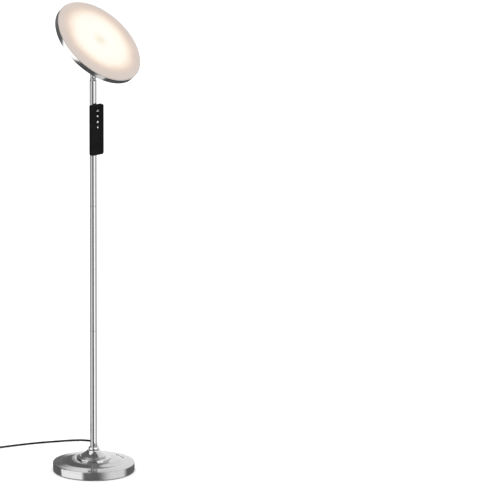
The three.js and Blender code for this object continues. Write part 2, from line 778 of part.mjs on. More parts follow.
function remoteInside() {
  const boardBottom = REMOTE_SPLIT + GAP + 0.2;
  const boardOutline = roundedRectangle(REMOTE_WIDTH - 7, REMOTE_HEIGHT - 8, 3);
  const board = pushed(boardOutline, boardBottom, boardBottom + 1.1);
  const magnetBottom = REMOTE_BACK + REMOTE_WALL + GAP;
  const magnets = Object.entries(MAGNET_PLACES).map(([name, place]) => {
    const magnet = disc(MAGNET_RADIUS, magnetBottom, magnetBottom + 2.5);
    return piece(name, 'plainSteel', magnet.translate(0, place, 0));
  });
  const indicator = disc(INDICATOR_RADIUS, REMOTE_FACE - REMOTE_WALL - 2, REMOTE_FACE - 0.1, 12);
  return [
    piece('remote_board', 'circuitBoard', board),
    ...magnets,
    piece('remote_indicator', 'smokedLens', indicator.translate(0, INDICATOR_PLACE, 0)),
  ];
}

function remote() {
  const buttons = Object.entries(BUTTON_PLACES).map(([name, place]) => remoteButton(name, place));
  const flat = new THREE.Group();
  flat.add(remoteFront(), remoteBack(), ...remoteInside(), ...batteryTray(), ...buttons);
  flat.rotation.x = Math.PI / 2;
  const standing = new THREE.Group();
  standing.add(flat);
  standing.rotation.z = REMOTE_HEADING;
  standing.position.z = REMOTE_CENTRE_HEIGHT;
  return standing;
}

// ---------------------------------------------------------------- cord and adapter

// A tapered strain relief about +Y: a flange inside the wall, a collar in its hole and a tail.
function grommet() {
  const profile = [
    [0, 127.4],
    [7.1, 127.4],
    [7.1, 130.4],
    [5.4, 130.4],
    [5.4, 137],
    [5, 139],
    [3.8, GROMMET_END],
    [0, GROMMET_END],
  ];
  const relief = turned(profile, 16).rotateX(-Math.PI / 2).translate(0, 0, CORD_EXIT_HEIGHT);
  return piece('cord_grommet', 'blackRubber', relief);
}

function cordCoil() {
  const [x, y] = COIL_CENTRE;
  const ring = tube(COIL_RADIUS_OUTER, COIL_RADIUS_INNER, COIL_BOTTOM, COIL_TOP, 28).translate(x, y, 0);
  const bundle = COIL_RADIUS_OUTER - COIL_RADIUS_INNER;
  const tieHeading = THREE.MathUtils.degToRad(-60);
  const tieMiddle = (COIL_RADIUS_OUTER + COIL_RADIUS_INNER) / 2;
  const heightMiddle = (COIL_TOP + COIL_BOTTOM) / 2;
  const bundleHeight = COIL_TOP - COIL_BOTTOM;
  const strap = cut(
    box(bundle + 4, 9, bundleHeight + 2.8, tieMiddle, 0, heightMiddle),
    box(bundle + 1.8, 11, bundleHeight + 0.6, tieMiddle, 0, heightMiddle),
  );
  strap.rotateZ(tieHeading).translate(x, y, 0);
  return [piece('cord_coil', 'blackRubber', ring), piece('coil_tie', 'blackRubber', strap)];
}

function adapter() {
  const middleY = ADAPTER_REAR - ADAPTER_LENGTH / 2;
  const outline = roundedRectangle(ADAPTER_WIDTH, ADAPTER_LENGTH, 4);
  const body = pushed(outline, 0.4, ADAPTER_HEIGHT, 4).translate(ADAPTER_CENTRE_X, middleY, 0);
  const reliefProfile = [
    [0, 0],
    [5.2, 0],
    [5.2, 4],
    [3.7, ADAPTER_RELIEF_LENGTH - GAP],
    [0, ADAPTER_RELIEF_LENGTH - GAP],
  ];
  const relief = turned(reliefProfile, 16)
    .rotateX(-Math.PI / 2)
    .translate(ADAPTER_CENTRE_X, ADAPTER_REAR + GAP, ADAPTER_CORD_HEIGHT);
  const bladeY = ADAPTER_REAR - ADAPTER_LENGTH - GAP - BLADE_LENGTH / 2;
  const blade = (side) => {
    const x = ADAPTER_CENTRE_X + (side * BLADE_SPACING) / 2;
    return box(BLADE_THICKNESS, BLADE_LENGTH, BLADE_WIDTH, x, bladeY, ADAPTER_HEIGHT / 2);
  };
  return [
    piece('adapter_body', 'blackPlastic', body),
    piece('adapter_strain_relief', 'blackRubber', relief),
    piece('adapter_blade_left', 'brass', blade(-1)),
    piece('adapter_blade_right', 'brass', blade(1)),
  ];
}

function cord() {
  const group = new THREE.Group();
  group.add(grommet(), ...cordCoil(), ...adapter());
  group.add(piece('cord_run', 'blackRubber', cable(CORD_RUN_ROUTE, CORD_RADIUS, CORD_SIDES, 38)));
  group.add(piece('cord_tail', 'blackRubber', cable(CORD_TAIL_ROUTE, CORD_RADIUS, CORD_SIDES, 8)));
  return group;
}

// ---------------------------------------------------------------- lamp

const lamp = new THREE.Group();
lamp.name = 'torchiere_floor_lamp';
lamp.add(base(), pole(), internalLead(), neck(), head(), remote(), cord());

export default lamp;
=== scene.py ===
"""Looks of the torchiere floor lamp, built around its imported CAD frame.

Every object is in metres in the frame's own axes: +Z up, the origin on the floor at the centre of
the base, the camera on the -Y side. Outlines and profiles are written in millimetres, as on a
drawing, and the mesh helpers turn them into metres.
"""

import json
import math

import bmesh
import bpy
from mathutils import Matrix, Vector
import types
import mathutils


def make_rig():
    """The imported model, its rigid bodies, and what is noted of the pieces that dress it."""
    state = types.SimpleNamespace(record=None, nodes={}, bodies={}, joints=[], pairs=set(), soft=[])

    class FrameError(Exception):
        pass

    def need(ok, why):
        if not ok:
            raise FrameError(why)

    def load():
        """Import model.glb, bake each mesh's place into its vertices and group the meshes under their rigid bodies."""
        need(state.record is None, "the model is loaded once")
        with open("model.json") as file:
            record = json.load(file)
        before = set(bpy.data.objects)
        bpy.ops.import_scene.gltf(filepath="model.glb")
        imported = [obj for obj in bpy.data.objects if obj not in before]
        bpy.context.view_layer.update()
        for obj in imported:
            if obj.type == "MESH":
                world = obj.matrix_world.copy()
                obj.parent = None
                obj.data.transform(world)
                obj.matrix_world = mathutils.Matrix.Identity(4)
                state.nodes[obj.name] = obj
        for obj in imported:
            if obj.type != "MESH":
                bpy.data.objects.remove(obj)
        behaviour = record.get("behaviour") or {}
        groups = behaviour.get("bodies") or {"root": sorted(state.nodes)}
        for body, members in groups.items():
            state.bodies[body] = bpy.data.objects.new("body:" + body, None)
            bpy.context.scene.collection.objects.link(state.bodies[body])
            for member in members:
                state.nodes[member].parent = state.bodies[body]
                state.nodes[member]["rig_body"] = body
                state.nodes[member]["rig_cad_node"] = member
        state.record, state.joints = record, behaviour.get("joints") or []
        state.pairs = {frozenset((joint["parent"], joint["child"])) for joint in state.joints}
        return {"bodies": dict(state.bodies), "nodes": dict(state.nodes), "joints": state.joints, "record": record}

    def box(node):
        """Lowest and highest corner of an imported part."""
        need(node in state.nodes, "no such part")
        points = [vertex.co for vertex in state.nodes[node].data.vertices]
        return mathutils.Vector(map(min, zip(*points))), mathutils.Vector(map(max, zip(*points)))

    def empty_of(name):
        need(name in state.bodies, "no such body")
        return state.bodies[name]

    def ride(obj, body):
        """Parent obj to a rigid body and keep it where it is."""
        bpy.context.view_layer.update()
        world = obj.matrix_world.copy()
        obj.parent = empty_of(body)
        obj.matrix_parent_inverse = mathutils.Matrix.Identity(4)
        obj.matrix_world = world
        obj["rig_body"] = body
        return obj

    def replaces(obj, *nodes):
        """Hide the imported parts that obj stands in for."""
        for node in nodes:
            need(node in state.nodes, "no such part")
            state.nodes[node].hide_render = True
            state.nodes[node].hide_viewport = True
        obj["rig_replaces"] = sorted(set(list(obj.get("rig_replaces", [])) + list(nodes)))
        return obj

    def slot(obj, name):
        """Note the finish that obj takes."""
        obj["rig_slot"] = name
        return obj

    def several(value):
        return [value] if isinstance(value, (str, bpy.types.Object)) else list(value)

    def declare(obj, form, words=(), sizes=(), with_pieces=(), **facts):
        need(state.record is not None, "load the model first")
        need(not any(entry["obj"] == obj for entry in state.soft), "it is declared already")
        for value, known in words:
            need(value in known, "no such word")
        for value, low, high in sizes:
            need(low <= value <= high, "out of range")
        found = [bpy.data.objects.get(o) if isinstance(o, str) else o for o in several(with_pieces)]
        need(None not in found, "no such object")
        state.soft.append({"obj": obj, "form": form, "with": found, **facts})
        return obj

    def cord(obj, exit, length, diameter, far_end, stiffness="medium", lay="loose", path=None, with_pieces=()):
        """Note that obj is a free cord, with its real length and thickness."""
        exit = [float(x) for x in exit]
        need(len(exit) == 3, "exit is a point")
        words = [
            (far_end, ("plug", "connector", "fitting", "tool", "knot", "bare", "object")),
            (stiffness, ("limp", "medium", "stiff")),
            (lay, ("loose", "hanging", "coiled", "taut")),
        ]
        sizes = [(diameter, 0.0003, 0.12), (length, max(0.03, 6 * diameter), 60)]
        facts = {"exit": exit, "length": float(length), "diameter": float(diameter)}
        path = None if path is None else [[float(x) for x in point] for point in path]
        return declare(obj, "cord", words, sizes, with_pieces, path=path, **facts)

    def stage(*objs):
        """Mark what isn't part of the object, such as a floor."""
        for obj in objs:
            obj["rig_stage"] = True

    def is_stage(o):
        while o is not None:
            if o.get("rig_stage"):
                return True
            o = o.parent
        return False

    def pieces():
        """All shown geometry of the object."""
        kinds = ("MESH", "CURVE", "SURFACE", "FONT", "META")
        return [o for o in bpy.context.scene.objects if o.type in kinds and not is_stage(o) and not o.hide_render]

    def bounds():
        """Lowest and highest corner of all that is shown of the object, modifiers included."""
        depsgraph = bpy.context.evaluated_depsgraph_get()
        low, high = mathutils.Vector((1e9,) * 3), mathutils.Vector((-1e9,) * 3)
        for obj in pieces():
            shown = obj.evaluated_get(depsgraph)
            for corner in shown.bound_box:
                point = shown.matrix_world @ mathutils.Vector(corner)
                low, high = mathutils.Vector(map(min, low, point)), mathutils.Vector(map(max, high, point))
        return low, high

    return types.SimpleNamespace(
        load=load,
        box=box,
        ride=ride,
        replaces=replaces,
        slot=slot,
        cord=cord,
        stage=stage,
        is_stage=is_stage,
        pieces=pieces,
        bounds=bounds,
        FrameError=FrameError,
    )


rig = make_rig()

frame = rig.load()
CAD_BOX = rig.bounds()

MM = 0.001
SIZE_FILE = "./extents.json"

# Driving dimensions, in millimetres
BASE_RADIUS = 132.5
BASE_RIM_TOP = 29.0
BASE_HUB_RADIUS = 60.0
BASE_HUB_TOP = 42.0
COVER_SHOULDER = 129.5
COVER_WALL = 1.2
POLE_RADIUS = 11.5
POLE_BORE = 10.5
NECK_RADIUS = 9.3
HEAD_RADIUS = 161.3
REMOTE_WIDTH = 50.0
REMOTE_HEIGHT = 168.0
REMOTE_CORNER = 6.0
REMOTE_WALL = 1.6
REMOTE_BACK = 11.8
REMOTE_SPLIT = 18.3
REMOTE_FACE = 24.8
REMOTE_CENTRE_HEIGHT = 1147.0
BUTTON_RADIUS = 5.5
BUTTON_GAP = 0.3
BUTTON_HEIGHTS = {"power": 64.5, "tone": 46.5, "brighter": 27.0, "dimmer": 9.0}
INDICATOR_HEIGHT = 76.5
TONGUE_HALF = 4.0
EAR_RADIUS = 8.5
EAR_GAP = 1.4
EAR_THICKNESS = 3.0
BOLT_RADIUS = 3.0
BOLT_HOLE = 3.4
SCREW_OFFSET = 14.5
SCREW_RADIUS = 1.6
SCREW_HOLE = 1.9
CORD_HOLE = 5.8
TOUCH_BAR_RADIUS = 98.5

HEAD_HEADING = math.radians(-33.5)
HEAD_TILT = math.radians(42.7)
REMOTE_HEADING = math.radians(36)
TOUCH_HEADING = math.radians(31)
TOUCH_LEAN = math.radians(11)

JOINTS = {joint["name"]: joint for joint in frame["joints"]}
SLOT_OF_NODE = {part["node"]: part["material_slot"] for part in frame["record"]["subparts"]}

# Local axes of the tilted head (Z along the head's own axis, from the tilt pivot) and of the
# remote (X across, Y up it, Z out of its face).
HEAD_AXES = (
    Matrix.Translation(JOINTS["head_tilt"]["pos_m"])
    @ Matrix.Rotation(HEAD_HEADING, 4, "Z")
    @ Matrix.Rotation(HEAD_TILT, 4, "Y")
)
NECK_AXES = Matrix.Rotation(HEAD_HEADING, 4, "Z")
REMOTE_AXES = (
    Matrix.Translation((0, 0, REMOTE_CENTRE_HEIGHT * MM))
    @ Matrix.Rotation(REMOTE_HEADING, 4, "Z")
    @ Matrix.Rotation(math.pi / 2, 4, "X")
)
ALONG_Y = Matrix.Rotation(-math.pi / 2, 4, "X")


# ---------------- camera

CAMERA_DISTANCE = 75.0
CAMERA_ELEVATION = math.radians(15.2)
CAMERA_LENS = 1669.0
CAMERA_TARGET = Vector((0.5066, 0.0, 0.740))


def make_camera():
    data = bpy.data.cameras.new("camera")
    data.lens = CAMERA_LENS
    data.sensor_width = 36.0
    data.clip_start = 1.0
    data.clip_end = 400.0
    camera = bpy.data.objects.new("camera", data)
    back = Vector((0, -math.cos(CAMERA_ELEVATION), math.sin(CAMERA_ELEVATION)))
    camera.location = CAMERA_TARGET + back * CAMERA_DISTANCE
    camera.rotation_mode = "QUATERNION"
    camera.rotation_quaternion = (-back).to_track_quat("-Z", "Y")
    bpy.context.scene.collection.objects.link(camera)
    bpy.context.scene.camera = camera


# ---------------- mesh helpers

FILLET_STEPS = 6
SHARP_ANGLE = math.radians(32)


def new_piece(name, mesh, place=None):
    """A new object in the scene, its mesh moved from the axes of place into the frame's own."""
    if place is not None:
        mesh.transform(place)
    piece = bpy.data.objects.new(name, mesh)
    bpy.context.scene.collection.objects.link(piece)
    return piece


def shade(mesh):
    """Smooth shading, with sharp edges only where faces meet at more than SHARP_ANGLE."""
    mesh.shade_smooth()
    mesh.set_sharp_from_angle(angle=SHARP_ANGLE)


def rounded(corners, closed):
    """Points of an outline. A corner is (x, y) or (x, y, fillet radius)."""
    points = []
    for i, corner in enumerate(corners):
        here = Vector(corner[:2])
        at_end = not closed and i in (0, len(corners) - 1)
        if len(corner) < 3 or at_end:
            points.append(here)
            continue
        before = Vector(corners[i - 1][:2]) - here
        after = Vector(corners[(i + 1) % len(corners)][:2]) - here
        half_angle = before.angle(after) / 2
        reach = min(corner[2] / math.tan(half_angle), 0.49 * before.length, 0.49 * after.length)
        middle = (before.normalized() + after.normalized()).normalized()
        centre = here + middle * (reach / math.cos(half_angle))
        first = here + before.normalized() * reach - centre
        last = here + after.normalized() * reach - centre
        start = math.atan2(first.y, first.x)
        turn = (math.atan2(last.y, last.x) - start + math.pi) % math.tau - math.pi
        for step in range(FILLET_STEPS + 1):
            angle = start + turn * step / FILLET_STEPS
            points.append(centre + first.length * Vector((math.cos(angle), math.sin(angle))))
    return points


def skin(name, rings, closed=False, place=None):
    """Joins rings of points into a closed surface. A ring of one point is a pole; the end rings
    of an open row are capped. Points are in millimetres."""
    builder = bmesh.new()
    loops = [[builder.verts.new(Vector(point) * MM) for point in ring] for ring in rings]
    count = max(len(loop) for loop in loops)
    rows = list(zip(loops, loops[1:] + loops[:1]))
    for lower, upper in rows if closed else rows[:-1]:
        for i in range(count):
            j = (i + 1) % count
            if len(lower) == 1:
                builder.faces.new((lower[0], upper[j], upper[i]))
            elif len(upper) == 1:
                builder.faces.new((lower[i], lower[j], upper[0]))
            else:
                builder.faces.new((lower[i], lower[j], upper[j], upper[i]))
    if not closed:
        for loop in (loops[0], loops[-1]):
            if len(loop) > 2:
                builder.faces.new(loop)
    bmesh.ops.remove_doubles(builder, verts=builder.verts, dist=1e-7)
    bmesh.ops.recalc_face_normals(builder, faces=builder.faces)
    mesh = bpy.data.meshes.new(name)
    builder.to_mesh(mesh)
    builder.free()
    shade(mesh)
    return new_piece(name, mesh, place)


def circle(radius, height, sides):
    if radius < 1e-6:
        return [(0, 0, height)]
    angles = [math.tau * i / sides for i in range(sides)]
    return [(radius * math.cos(a), radius * math.sin(a), height) for a in angles]


def lathe(name, profile, sides=64, place=None):
    """A turned solid about local Z. The profile is a row of (radius, height) or
    (radius, height, fillet), closed on itself unless it starts on the axis."""
    closed = profile[0][0] > 0
    points = rounded(profile, closed)
    return skin(name, [circle(r, z, sides) for r, z in points], closed, place)


def rounded_rectangle(width, height, radius, steps=8):
    """A rounded rectangle's outline, as a function of its inset."""

    def outline(inset):
        turn = max(radius - inset, 0.05)
        x = width / 2 - inset - turn
        y = height / 2 - inset - turn
        points = []
        for quarter, (sx, sy) in enumerate(((1, 1), (-1, 1), (-1, -1), (1, -1))):
            for step in range(steps + 1):
                angle = (quarter + step / steps) * math.pi / 2
                points.append((sx * x + turn * math.cos(angle), sy * y + turn * math.sin(angle)))
        return points

    return outline


def slab(name, outline, profile, closed=False, place=None):
    """A flat outline given thickness. outline(inset) gives its points; the profile is a row of
    (inset, height) or (inset, height, fillet)."""
    levels = rounded(profile, closed)
    rings = [[(x, y, height) for x, y in outline(inset)] for inset, height in levels]
    return skin(name, rings, closed, place)


def flat_ring(bore, radius, low, high, fillet):
    """Profile of a flat ring with rounded outer edges. For a slab, the radii are insets."""
    return [(bore, low), (radius, low, fillet), (radius, high, fillet), (bore, high)]


def hexagon_radius(flat_radius, angle):
    """Distance from a hexagon's centre to its side at an angle; corners lie at multiples of 60."""
    sector = (angle + math.pi / 6) % (math.pi / 3) - math.pi / 6
    return flat_radius / math.cos(abs(sector) - math.pi / 6)


def hex_nut(name, corner_radius, hole_radius, bottom, top, place=None):
    """A hexagonal nut with its corners turned down at both ends."""
    flat_radius = corner_radius * math.cos(math.pi / 6)
    end_radius = flat_radius * 0.97
    chamfer = (corner_radius - flat_radius) * 0.6
    sides = 72
    chamfer_steps = 4
    levels = []
    for step in range(chamfer_steps + 1):
        share = step / chamfer_steps
        levels.append((end_radius + (corner_radius - end_radius) * share, chamfer * share))
    outer = [(limit, bottom + rise) for limit, rise in levels]
    outer += [(limit, top - rise) for limit, rise in reversed(levels)]
    hole_chamfer = 0.5
    rings = [circle(hole_radius + hole_chamfer, bottom, sides)]
    for limit, height in outer:
        ring = []
        for i in range(sides):
            angle = math.tau * i / sides
            radius = min(limit, hexagon_radius(flat_radius, angle))
            ring.append((radius * math.cos(angle), radius * math.sin(angle), height))
        rings.append(ring)
    rings.append(circle(hole_radius + hole_chamfer, top, sides))
    rings.append(circle(hole_radius, top - hole_chamfer, sides))
    rings.append(circle(hole_radius, bottom + hole_chamfer, sides))
    return skin(name, rings, closed=True, place=place)


def thread(radius, start, end, pitch=0.8, depth=0.35):
    """Profile points of a screw thread, drawn as close grooves from height start to end."""
    turns = max(1, round(abs(end - start) / pitch))
    points = []
    for i in range(turns):
        low = start + (end - start) * i / turns
        high = start + (end - start) * (i + 1) / turns
        points += [(radius - depth, low), (radius, (low + high) / 2)]
    return points + [(radius - depth, end)]


def combine(piece, operation, *others):
    """Cuts the others out of the piece or joins them to it, and removes them."""
    for other in others:
        modifier = piece.modifiers.new("combine", "BOOLEAN")
        modifier.operation = operation
        modifier.object = other
        modifier.solver = "EXACT"
    bpy.context.view_layer.update()
    evaluated = piece.evaluated_get(bpy.context.evaluated_depsgraph_get())
    mesh = bpy.data.meshes.new_from_object(evaluated)
    piece.modifiers.clear()
    piece.data = mesh
    for other in others:
        bpy.data.objects.remove(other)
    shade(mesh)
    return piece


def cutter_disc(radius, bottom, top, place, y=0.0, sides=48):
    place = place @ Matrix.Translation((0, y * MM, 0))
    return skin("cutter", [circle(radius, bottom, sides), circle(radius, top, sides)], place=place)


def cutter_block(width, height, bottom, top, place, corner=0.1, corner_steps=1):
    outline = rounded_rectangle(width, height, corner, corner_steps)
    return slab("cutter", outline, [(0, bottom), (0, top)], place=place)


# ---------------- node helpers


class Nodes:
    """Adds nodes to a node tree. An input may be a number, a colour or another node's output."""

    def __init__(self, tree):
        self.tree = tree

    def add(self, kind, inputs=None, **settings):
        made = self.tree.nodes.new(kind)
        for name, value in settings.items():
            setattr(made, name, value)
        for name, value in (inputs or {}).items():
            self.set(made.inputs[name], value)
        return made

    def set(self, socket, value):
        if isinstance(value, bpy.types.NodeSocket):
            self.tree.links.new(value, socket)
        else:
            socket.default_value = value

    def math(self, operation, first, second=0.0):
        return self.add("ShaderNodeMath", {0: first, 1: second}, operation=operation).outputs[0]

    def span(self, value, low, high, to_low=0.0, to_high=1.0, smooth=False):
        """The value carried from the range low to high over to the range to_low to to_high."""
        kind = "SMOOTHSTEP" if smooth else "LINEAR"
        inputs = {"Value": value, "From Min": low, "From Max": high, "To Min": to_low, "To Max": to_high}
        return self.add("ShaderNodeMapRange", inputs, interpolation_type=kind).outputs["Result"]

    def mix(self, factor, first, second):
        inputs = {0: factor, 6: first, 7: second}
        return self.add("ShaderNodeMix", inputs, data_type="RGBA").outputs[2]

    def noise(self, vector, scale, detail=3.0, roughness=0.5):
        inputs = {"Vector": vector, "Scale": scale, "Detail": detail, "Roughness": roughness}
        return self.add("ShaderNodeTexNoise", inputs).outputs[0]

    def point(self, axes=None):
        """The place on the piece, measured in the frame or in other axes."""
        place = self.add("ShaderNodeTexCoord").outputs["Object"]
        if axes is None:
            return place
        turn = tuple(axes.to_euler())
        inputs = {"Vector": place, "Location": tuple(axes.to_translation()), "Rotation": turn}
        return self.add("ShaderNodeMapping", inputs, vector_type="TEXTURE").outputs[0]

    def vector(self, operation, first, second=(0, 0, 0)):
        return self.add("ShaderNodeVectorMath", {0: first, 1: second}, operation=operation).outputs[0]

    def bump(self, height, strength, distance):
        inputs = {"Height": height, "Strength": strength, "Distance": distance}
        return self.add("ShaderNodeBump", inputs).outputs["Normal"]

    def ramp(self, factor, stops):
        node = self.add("ShaderNodeValToRGB", {"Fac": factor})
        elements = node.color_ramp.elements
        while len(elements) < len(stops):
            elements.new(0.5)
        for element, (position, colour) in zip(elements, stops):
            element.position = position
            element.color = (*colour, 1.0)
        return node.outputs["Color"]


def grey(value):
    return (value, value, value, 1.0)


def tinted(colour, factor=1.0, lift=0.0):
    """The colour made darker or lighter, as a socket takes it."""
    return tuple(min(1.0, c * factor + lift) for c in colour) + (1.0,)


MATERIALS = {}


def new_material(name):
    """Keeps a new material in MATERIALS by its name, and returns its nodes and its shader."""
    made = bpy.data.materials.new(name)
    made.use_nodes = True
    MATERIALS[name] = made
    return Nodes(made.node_tree), made.node_tree.nodes["Principled BSDF"]


def finish(nodes, shader, colour, roughness, normal, constants=None):
    nodes.set(shader.inputs["Base Color"], colour)
    nodes.set(shader.inputs["Roughness"], roughness)
    nodes.set(shader.inputs["Normal"], normal)
    for name, value in (constants or {}).items():
        shader.inputs[name].default_value = value


def polar(nodes, point):
    """The direction round local Z as a flat unit vector, the distance from Z, and the height."""
    parts = nodes.add("ShaderNodeSeparateXYZ", {0: point})
    flat = nodes.add("ShaderNodeCombineXYZ", {0: parts.outputs[0], 1: parts.outputs[1]}).outputs[0]
    radius = nodes.add("ShaderNodeVectorMath", {0: flat}, operation="LENGTH").outputs["Value"]
    return nodes.vector("NORMALIZE", flat), radius, parts.outputs[2]


def stretched(nodes, unit, across, unit_scale, across_scale):
    """A texture vector that changes unit_scale times round local Z and across_scale times
    per metre of across."""
    turned = nodes.add("ShaderNodeVectorMath", {0: unit, "Scale": unit_scale}, operation="SCALE")
    rise = nodes.math("MULTIPLY", across, across_scale)
    lifted = nodes.add("ShaderNodeCombineXYZ", {2: rise}).outputs[0]
    return nodes.vector("ADD", turned.outputs[0], lifted)


# ---------------- materials


def round_tangent(nodes, axes):
    """The direction that runs round the Z of the given axes."""
    place = nodes.add("ShaderNodeTexCoord").outputs["Object"]
    arm = nodes.vector("SUBTRACT", place, tuple(axes.to_translation()))
    along = nodes.vector("CROSS_PRODUCT", tuple(axes.col[2][:3]), arm)
    spaces = {"convert_from": "OBJECT", "convert_to": "WORLD"}
    turned = nodes.add("ShaderNodeVectorTransform", {0: along}, vector_type="VECTOR", **spaces)
    return nodes.vector("NORMALIZE", turned.outputs[0])


def brushed_metal(name, colour, roughness, axes=Matrix(), lengthwise=False):
    """Satin metal brushed round the Z of its axes, or along it. Fine lines, longer streaks, and
    faint handling marks that change the gloss. Reflections spread across the brush lines."""
    nodes, shader = new_material(name)
    point = nodes.point(axes)
    unit, radius, height = polar(nodes, point)
    if lengthwise:
        fine = stretched(nodes, unit, height, 60, 9)
        coarse = stretched(nodes, unit, height, 14, 2.5)
    else:
        across = nodes.math("ADD", radius, height)
        fine = stretched(nodes, unit, across, 2.2, 2600)
        coarse = stretched(nodes, unit, across, 0.8, 420)
    lines = nodes.noise(fine, 1.0, 2.0, 0.6)
    streaks = nodes.noise(coarse, 1.0, 3.0, 0.55)
    marks = nodes.noise(point, 22.0, 4.0, 0.6)
    tone = nodes.math("ADD", nodes.math("MULTIPLY", lines, 0.4), nodes.math("MULTIPLY", streaks, 0.6))
    shown = nodes.mix(nodes.span(tone, 0.32, 0.68), tinted(colour, 0.9), tinted(colour, 1.07))
    streak_gloss = nodes.span(tone, 0.3, 0.7, roughness * 0.82, roughness * 1.16)
    mark_gloss = nodes.span(marks, 0.45, 0.75, 0.0, 0.05, smooth=True)
    relief = nodes.bump(lines, 0.02 if lengthwise else 0.06, 0.00002)
    turn = 0.0 if lengthwise else 0.25
    constants = {"Metallic": 1.0, "Anisotropic": 0.55, "Anisotropic Rotation": turn}
    finish(nodes, shader, shown, nodes.math("ADD", streak_gloss, mark_gloss), relief, constants)
    nodes.set(shader.inputs["Tangent"], round_tangent(nodes, axes))


def polished_metal(name, colour, roughness):
    """Plated and buffed metal, with smears and a few hairline scratches."""
    nodes, shader = new_material(name)
    point = nodes.point()
    smears = nodes.noise(point, 60.0, 4.0, 0.6)
    unit, radius, height = polar(nodes, point)
    across = nodes.math("ADD", radius, height)
    hairlines = nodes.noise(stretched(nodes, unit, across, 3, 1800), 1.0, 1.0)
    shown = nodes.mix(nodes.span(smears, 0.3, 0.7), tinted(colour, 0.96), tinted(colour))
    gloss = nodes.span(smears, 0.4, 0.8, roughness, roughness * 2.0, smooth=True)
    finish(nodes, shader, shown, gloss, nodes.bump(hairlines, 0.04, 0.00002), {"Metallic": 1.0})


def plain_metal(name, colour, roughness):
    """Unbrushed metal, such as zinc plate, with a mottled tone and fine grain."""
    nodes, shader = new_material(name)
    point = nodes.point()
    clouds = nodes.noise(point, 90.0, 5.0, 0.6)
    fine = nodes.noise(point, 900.0, 3.0, 0.6)
    shown = nodes.mix(nodes.span(clouds, 0.3, 0.7), tinted(colour, 0.82), tinted(colour))
    gloss = nodes.span(fine, 0.3, 0.7, roughness * 0.8, roughness * 1.25)
    finish(nodes, shader, shown, gloss, nodes.bump(fine, 0.3, 0.00008), {"Metallic": 1.0})


def cast_iron(name):
    nodes, shader = new_material(name)
    point = nodes.point()
    lumps = nodes.noise(point, 260.0, 6.0, 0.65)
    rust = nodes.noise(point, 30.0, 4.0, 0.6)
    shown = nodes.mix(nodes.span(rust, 0.55, 0.75), grey(0.05), (0.12, 0.06, 0.035, 1))
    gloss = nodes.span(lumps, 0.3, 0.7, 0.65, 0.9)
    finish(nodes, shader, shown, gloss, nodes.bump(lumps, 0.6, 0.0006), {"Metallic": 0.3})


def moulded_plastic(name, colour, roughness, grain=1500.0, depth=0.00005, specular=0.5):
    """Moulded plastic or rubber with a fine eroded grain and faint shine where it is handled."""
    nodes, shader = new_material(name)
    point = nodes.point()
    fine = nodes.noise(point, grain, 3.0, 0.6)
    worn = nodes.noise(point, 35.0, 4.0, 0.6)
    shown = nodes.mix(nodes.span(worn, 0.35, 0.7), tinted(colour), tinted(colour, 1.35, 0.001))
    satin = nodes.span(fine, 0.3, 0.7, roughness * 0.88, min(1.0, roughness * 1.12))
    handled = nodes.span(worn, 0.55, 0.75, 0.0, -0.08, smooth=True)
    gloss = nodes.math("ADD", satin, handled)
    finish(nodes, shader, shown, gloss, nodes.bump(fine, 0.35, depth), {"Specular IOR Level": specular})


def circuit_board(name, mask_colour):
    """Solder mask with faint tracks and pads under it."""
    nodes, shader = new_material(name)
    point = nodes.point()
    inputs = {"Vector": point, "Scale": 420.0}
    cells = nodes.add("ShaderNodeTexVoronoi", inputs, distance="MANHATTAN", feature="F1")
    tracks = nodes.span(cells.outputs["Distance"], 0.42, 0.46)
    shown = nodes.mix(tracks, tinted(mask_colour), tinted(mask_colour, 1.6, 0.01))
    gloss = nodes.span(nodes.noise(point, 300.0), 0.3, 0.7, 0.3, 0.42)
    finish(nodes, shader, shown, gloss, nodes.bump(tracks, 0.3, 0.00004))


# Glow of the diffuser from its centre to its edge, as share of the radius and colour
GLOW_STOPS = [
    (0.00, (0.50, 0.43, 0.28)),
    (0.10, (0.56, 0.53, 0.40)),
    (0.20, (0.59, 0.59, 0.53)),
    (0.47, (0.59, 0.59, 0.51)),
    (0.60, (0.585, 0.56, 0.45)),
    (0.70, (0.54, 0.42, 0.295)),
    (0.80, (0.37, 0.245, 0.165)),
    (0.88, (0.285, 0.20, 0.145)),
    (0.94, (0.27, 0.205, 0.165)),
]


def opal_diffuser(name):
    """Opal plastic lit from behind: near-white in the middle, with a warm edge."""
    nodes, shader = new_material(name)
    point = nodes.point(HEAD_AXES)
    _, radius, _ = polar(nodes, point)
    share = nodes.math("DIVIDE", radius, HEAD_RADIUS * MM)
    uneven = nodes.noise(point, 11.0, 2.0, 0.45)
    shifted = nodes.math("ADD", share, nodes.span(uneven, 0.3, 0.7, -0.03, 0.03))
    nodes.set(shader.inputs["Emission Color"], nodes.ramp(shifted, GLOW_STOPS))
    fine = nodes.noise(point, 1400.0, 2.0)
    clouds = nodes.noise(point, 16.0, 3.0)
    shown = nodes.mix(nodes.span(clouds, 0.3, 0.7), (0.28, 0.268, 0.262, 1), (0.30, 0.288, 0.282, 1))
    gloss = nodes.span(fine, 0.3, 0.7, 0.5, 0.62)
    constants = {"Emission Strength": 1.0, "Specular IOR Level": 0.2}
    finish(nodes, shader, shown, gloss, nodes.bump(fine, 0.2, 0.00003), constants)


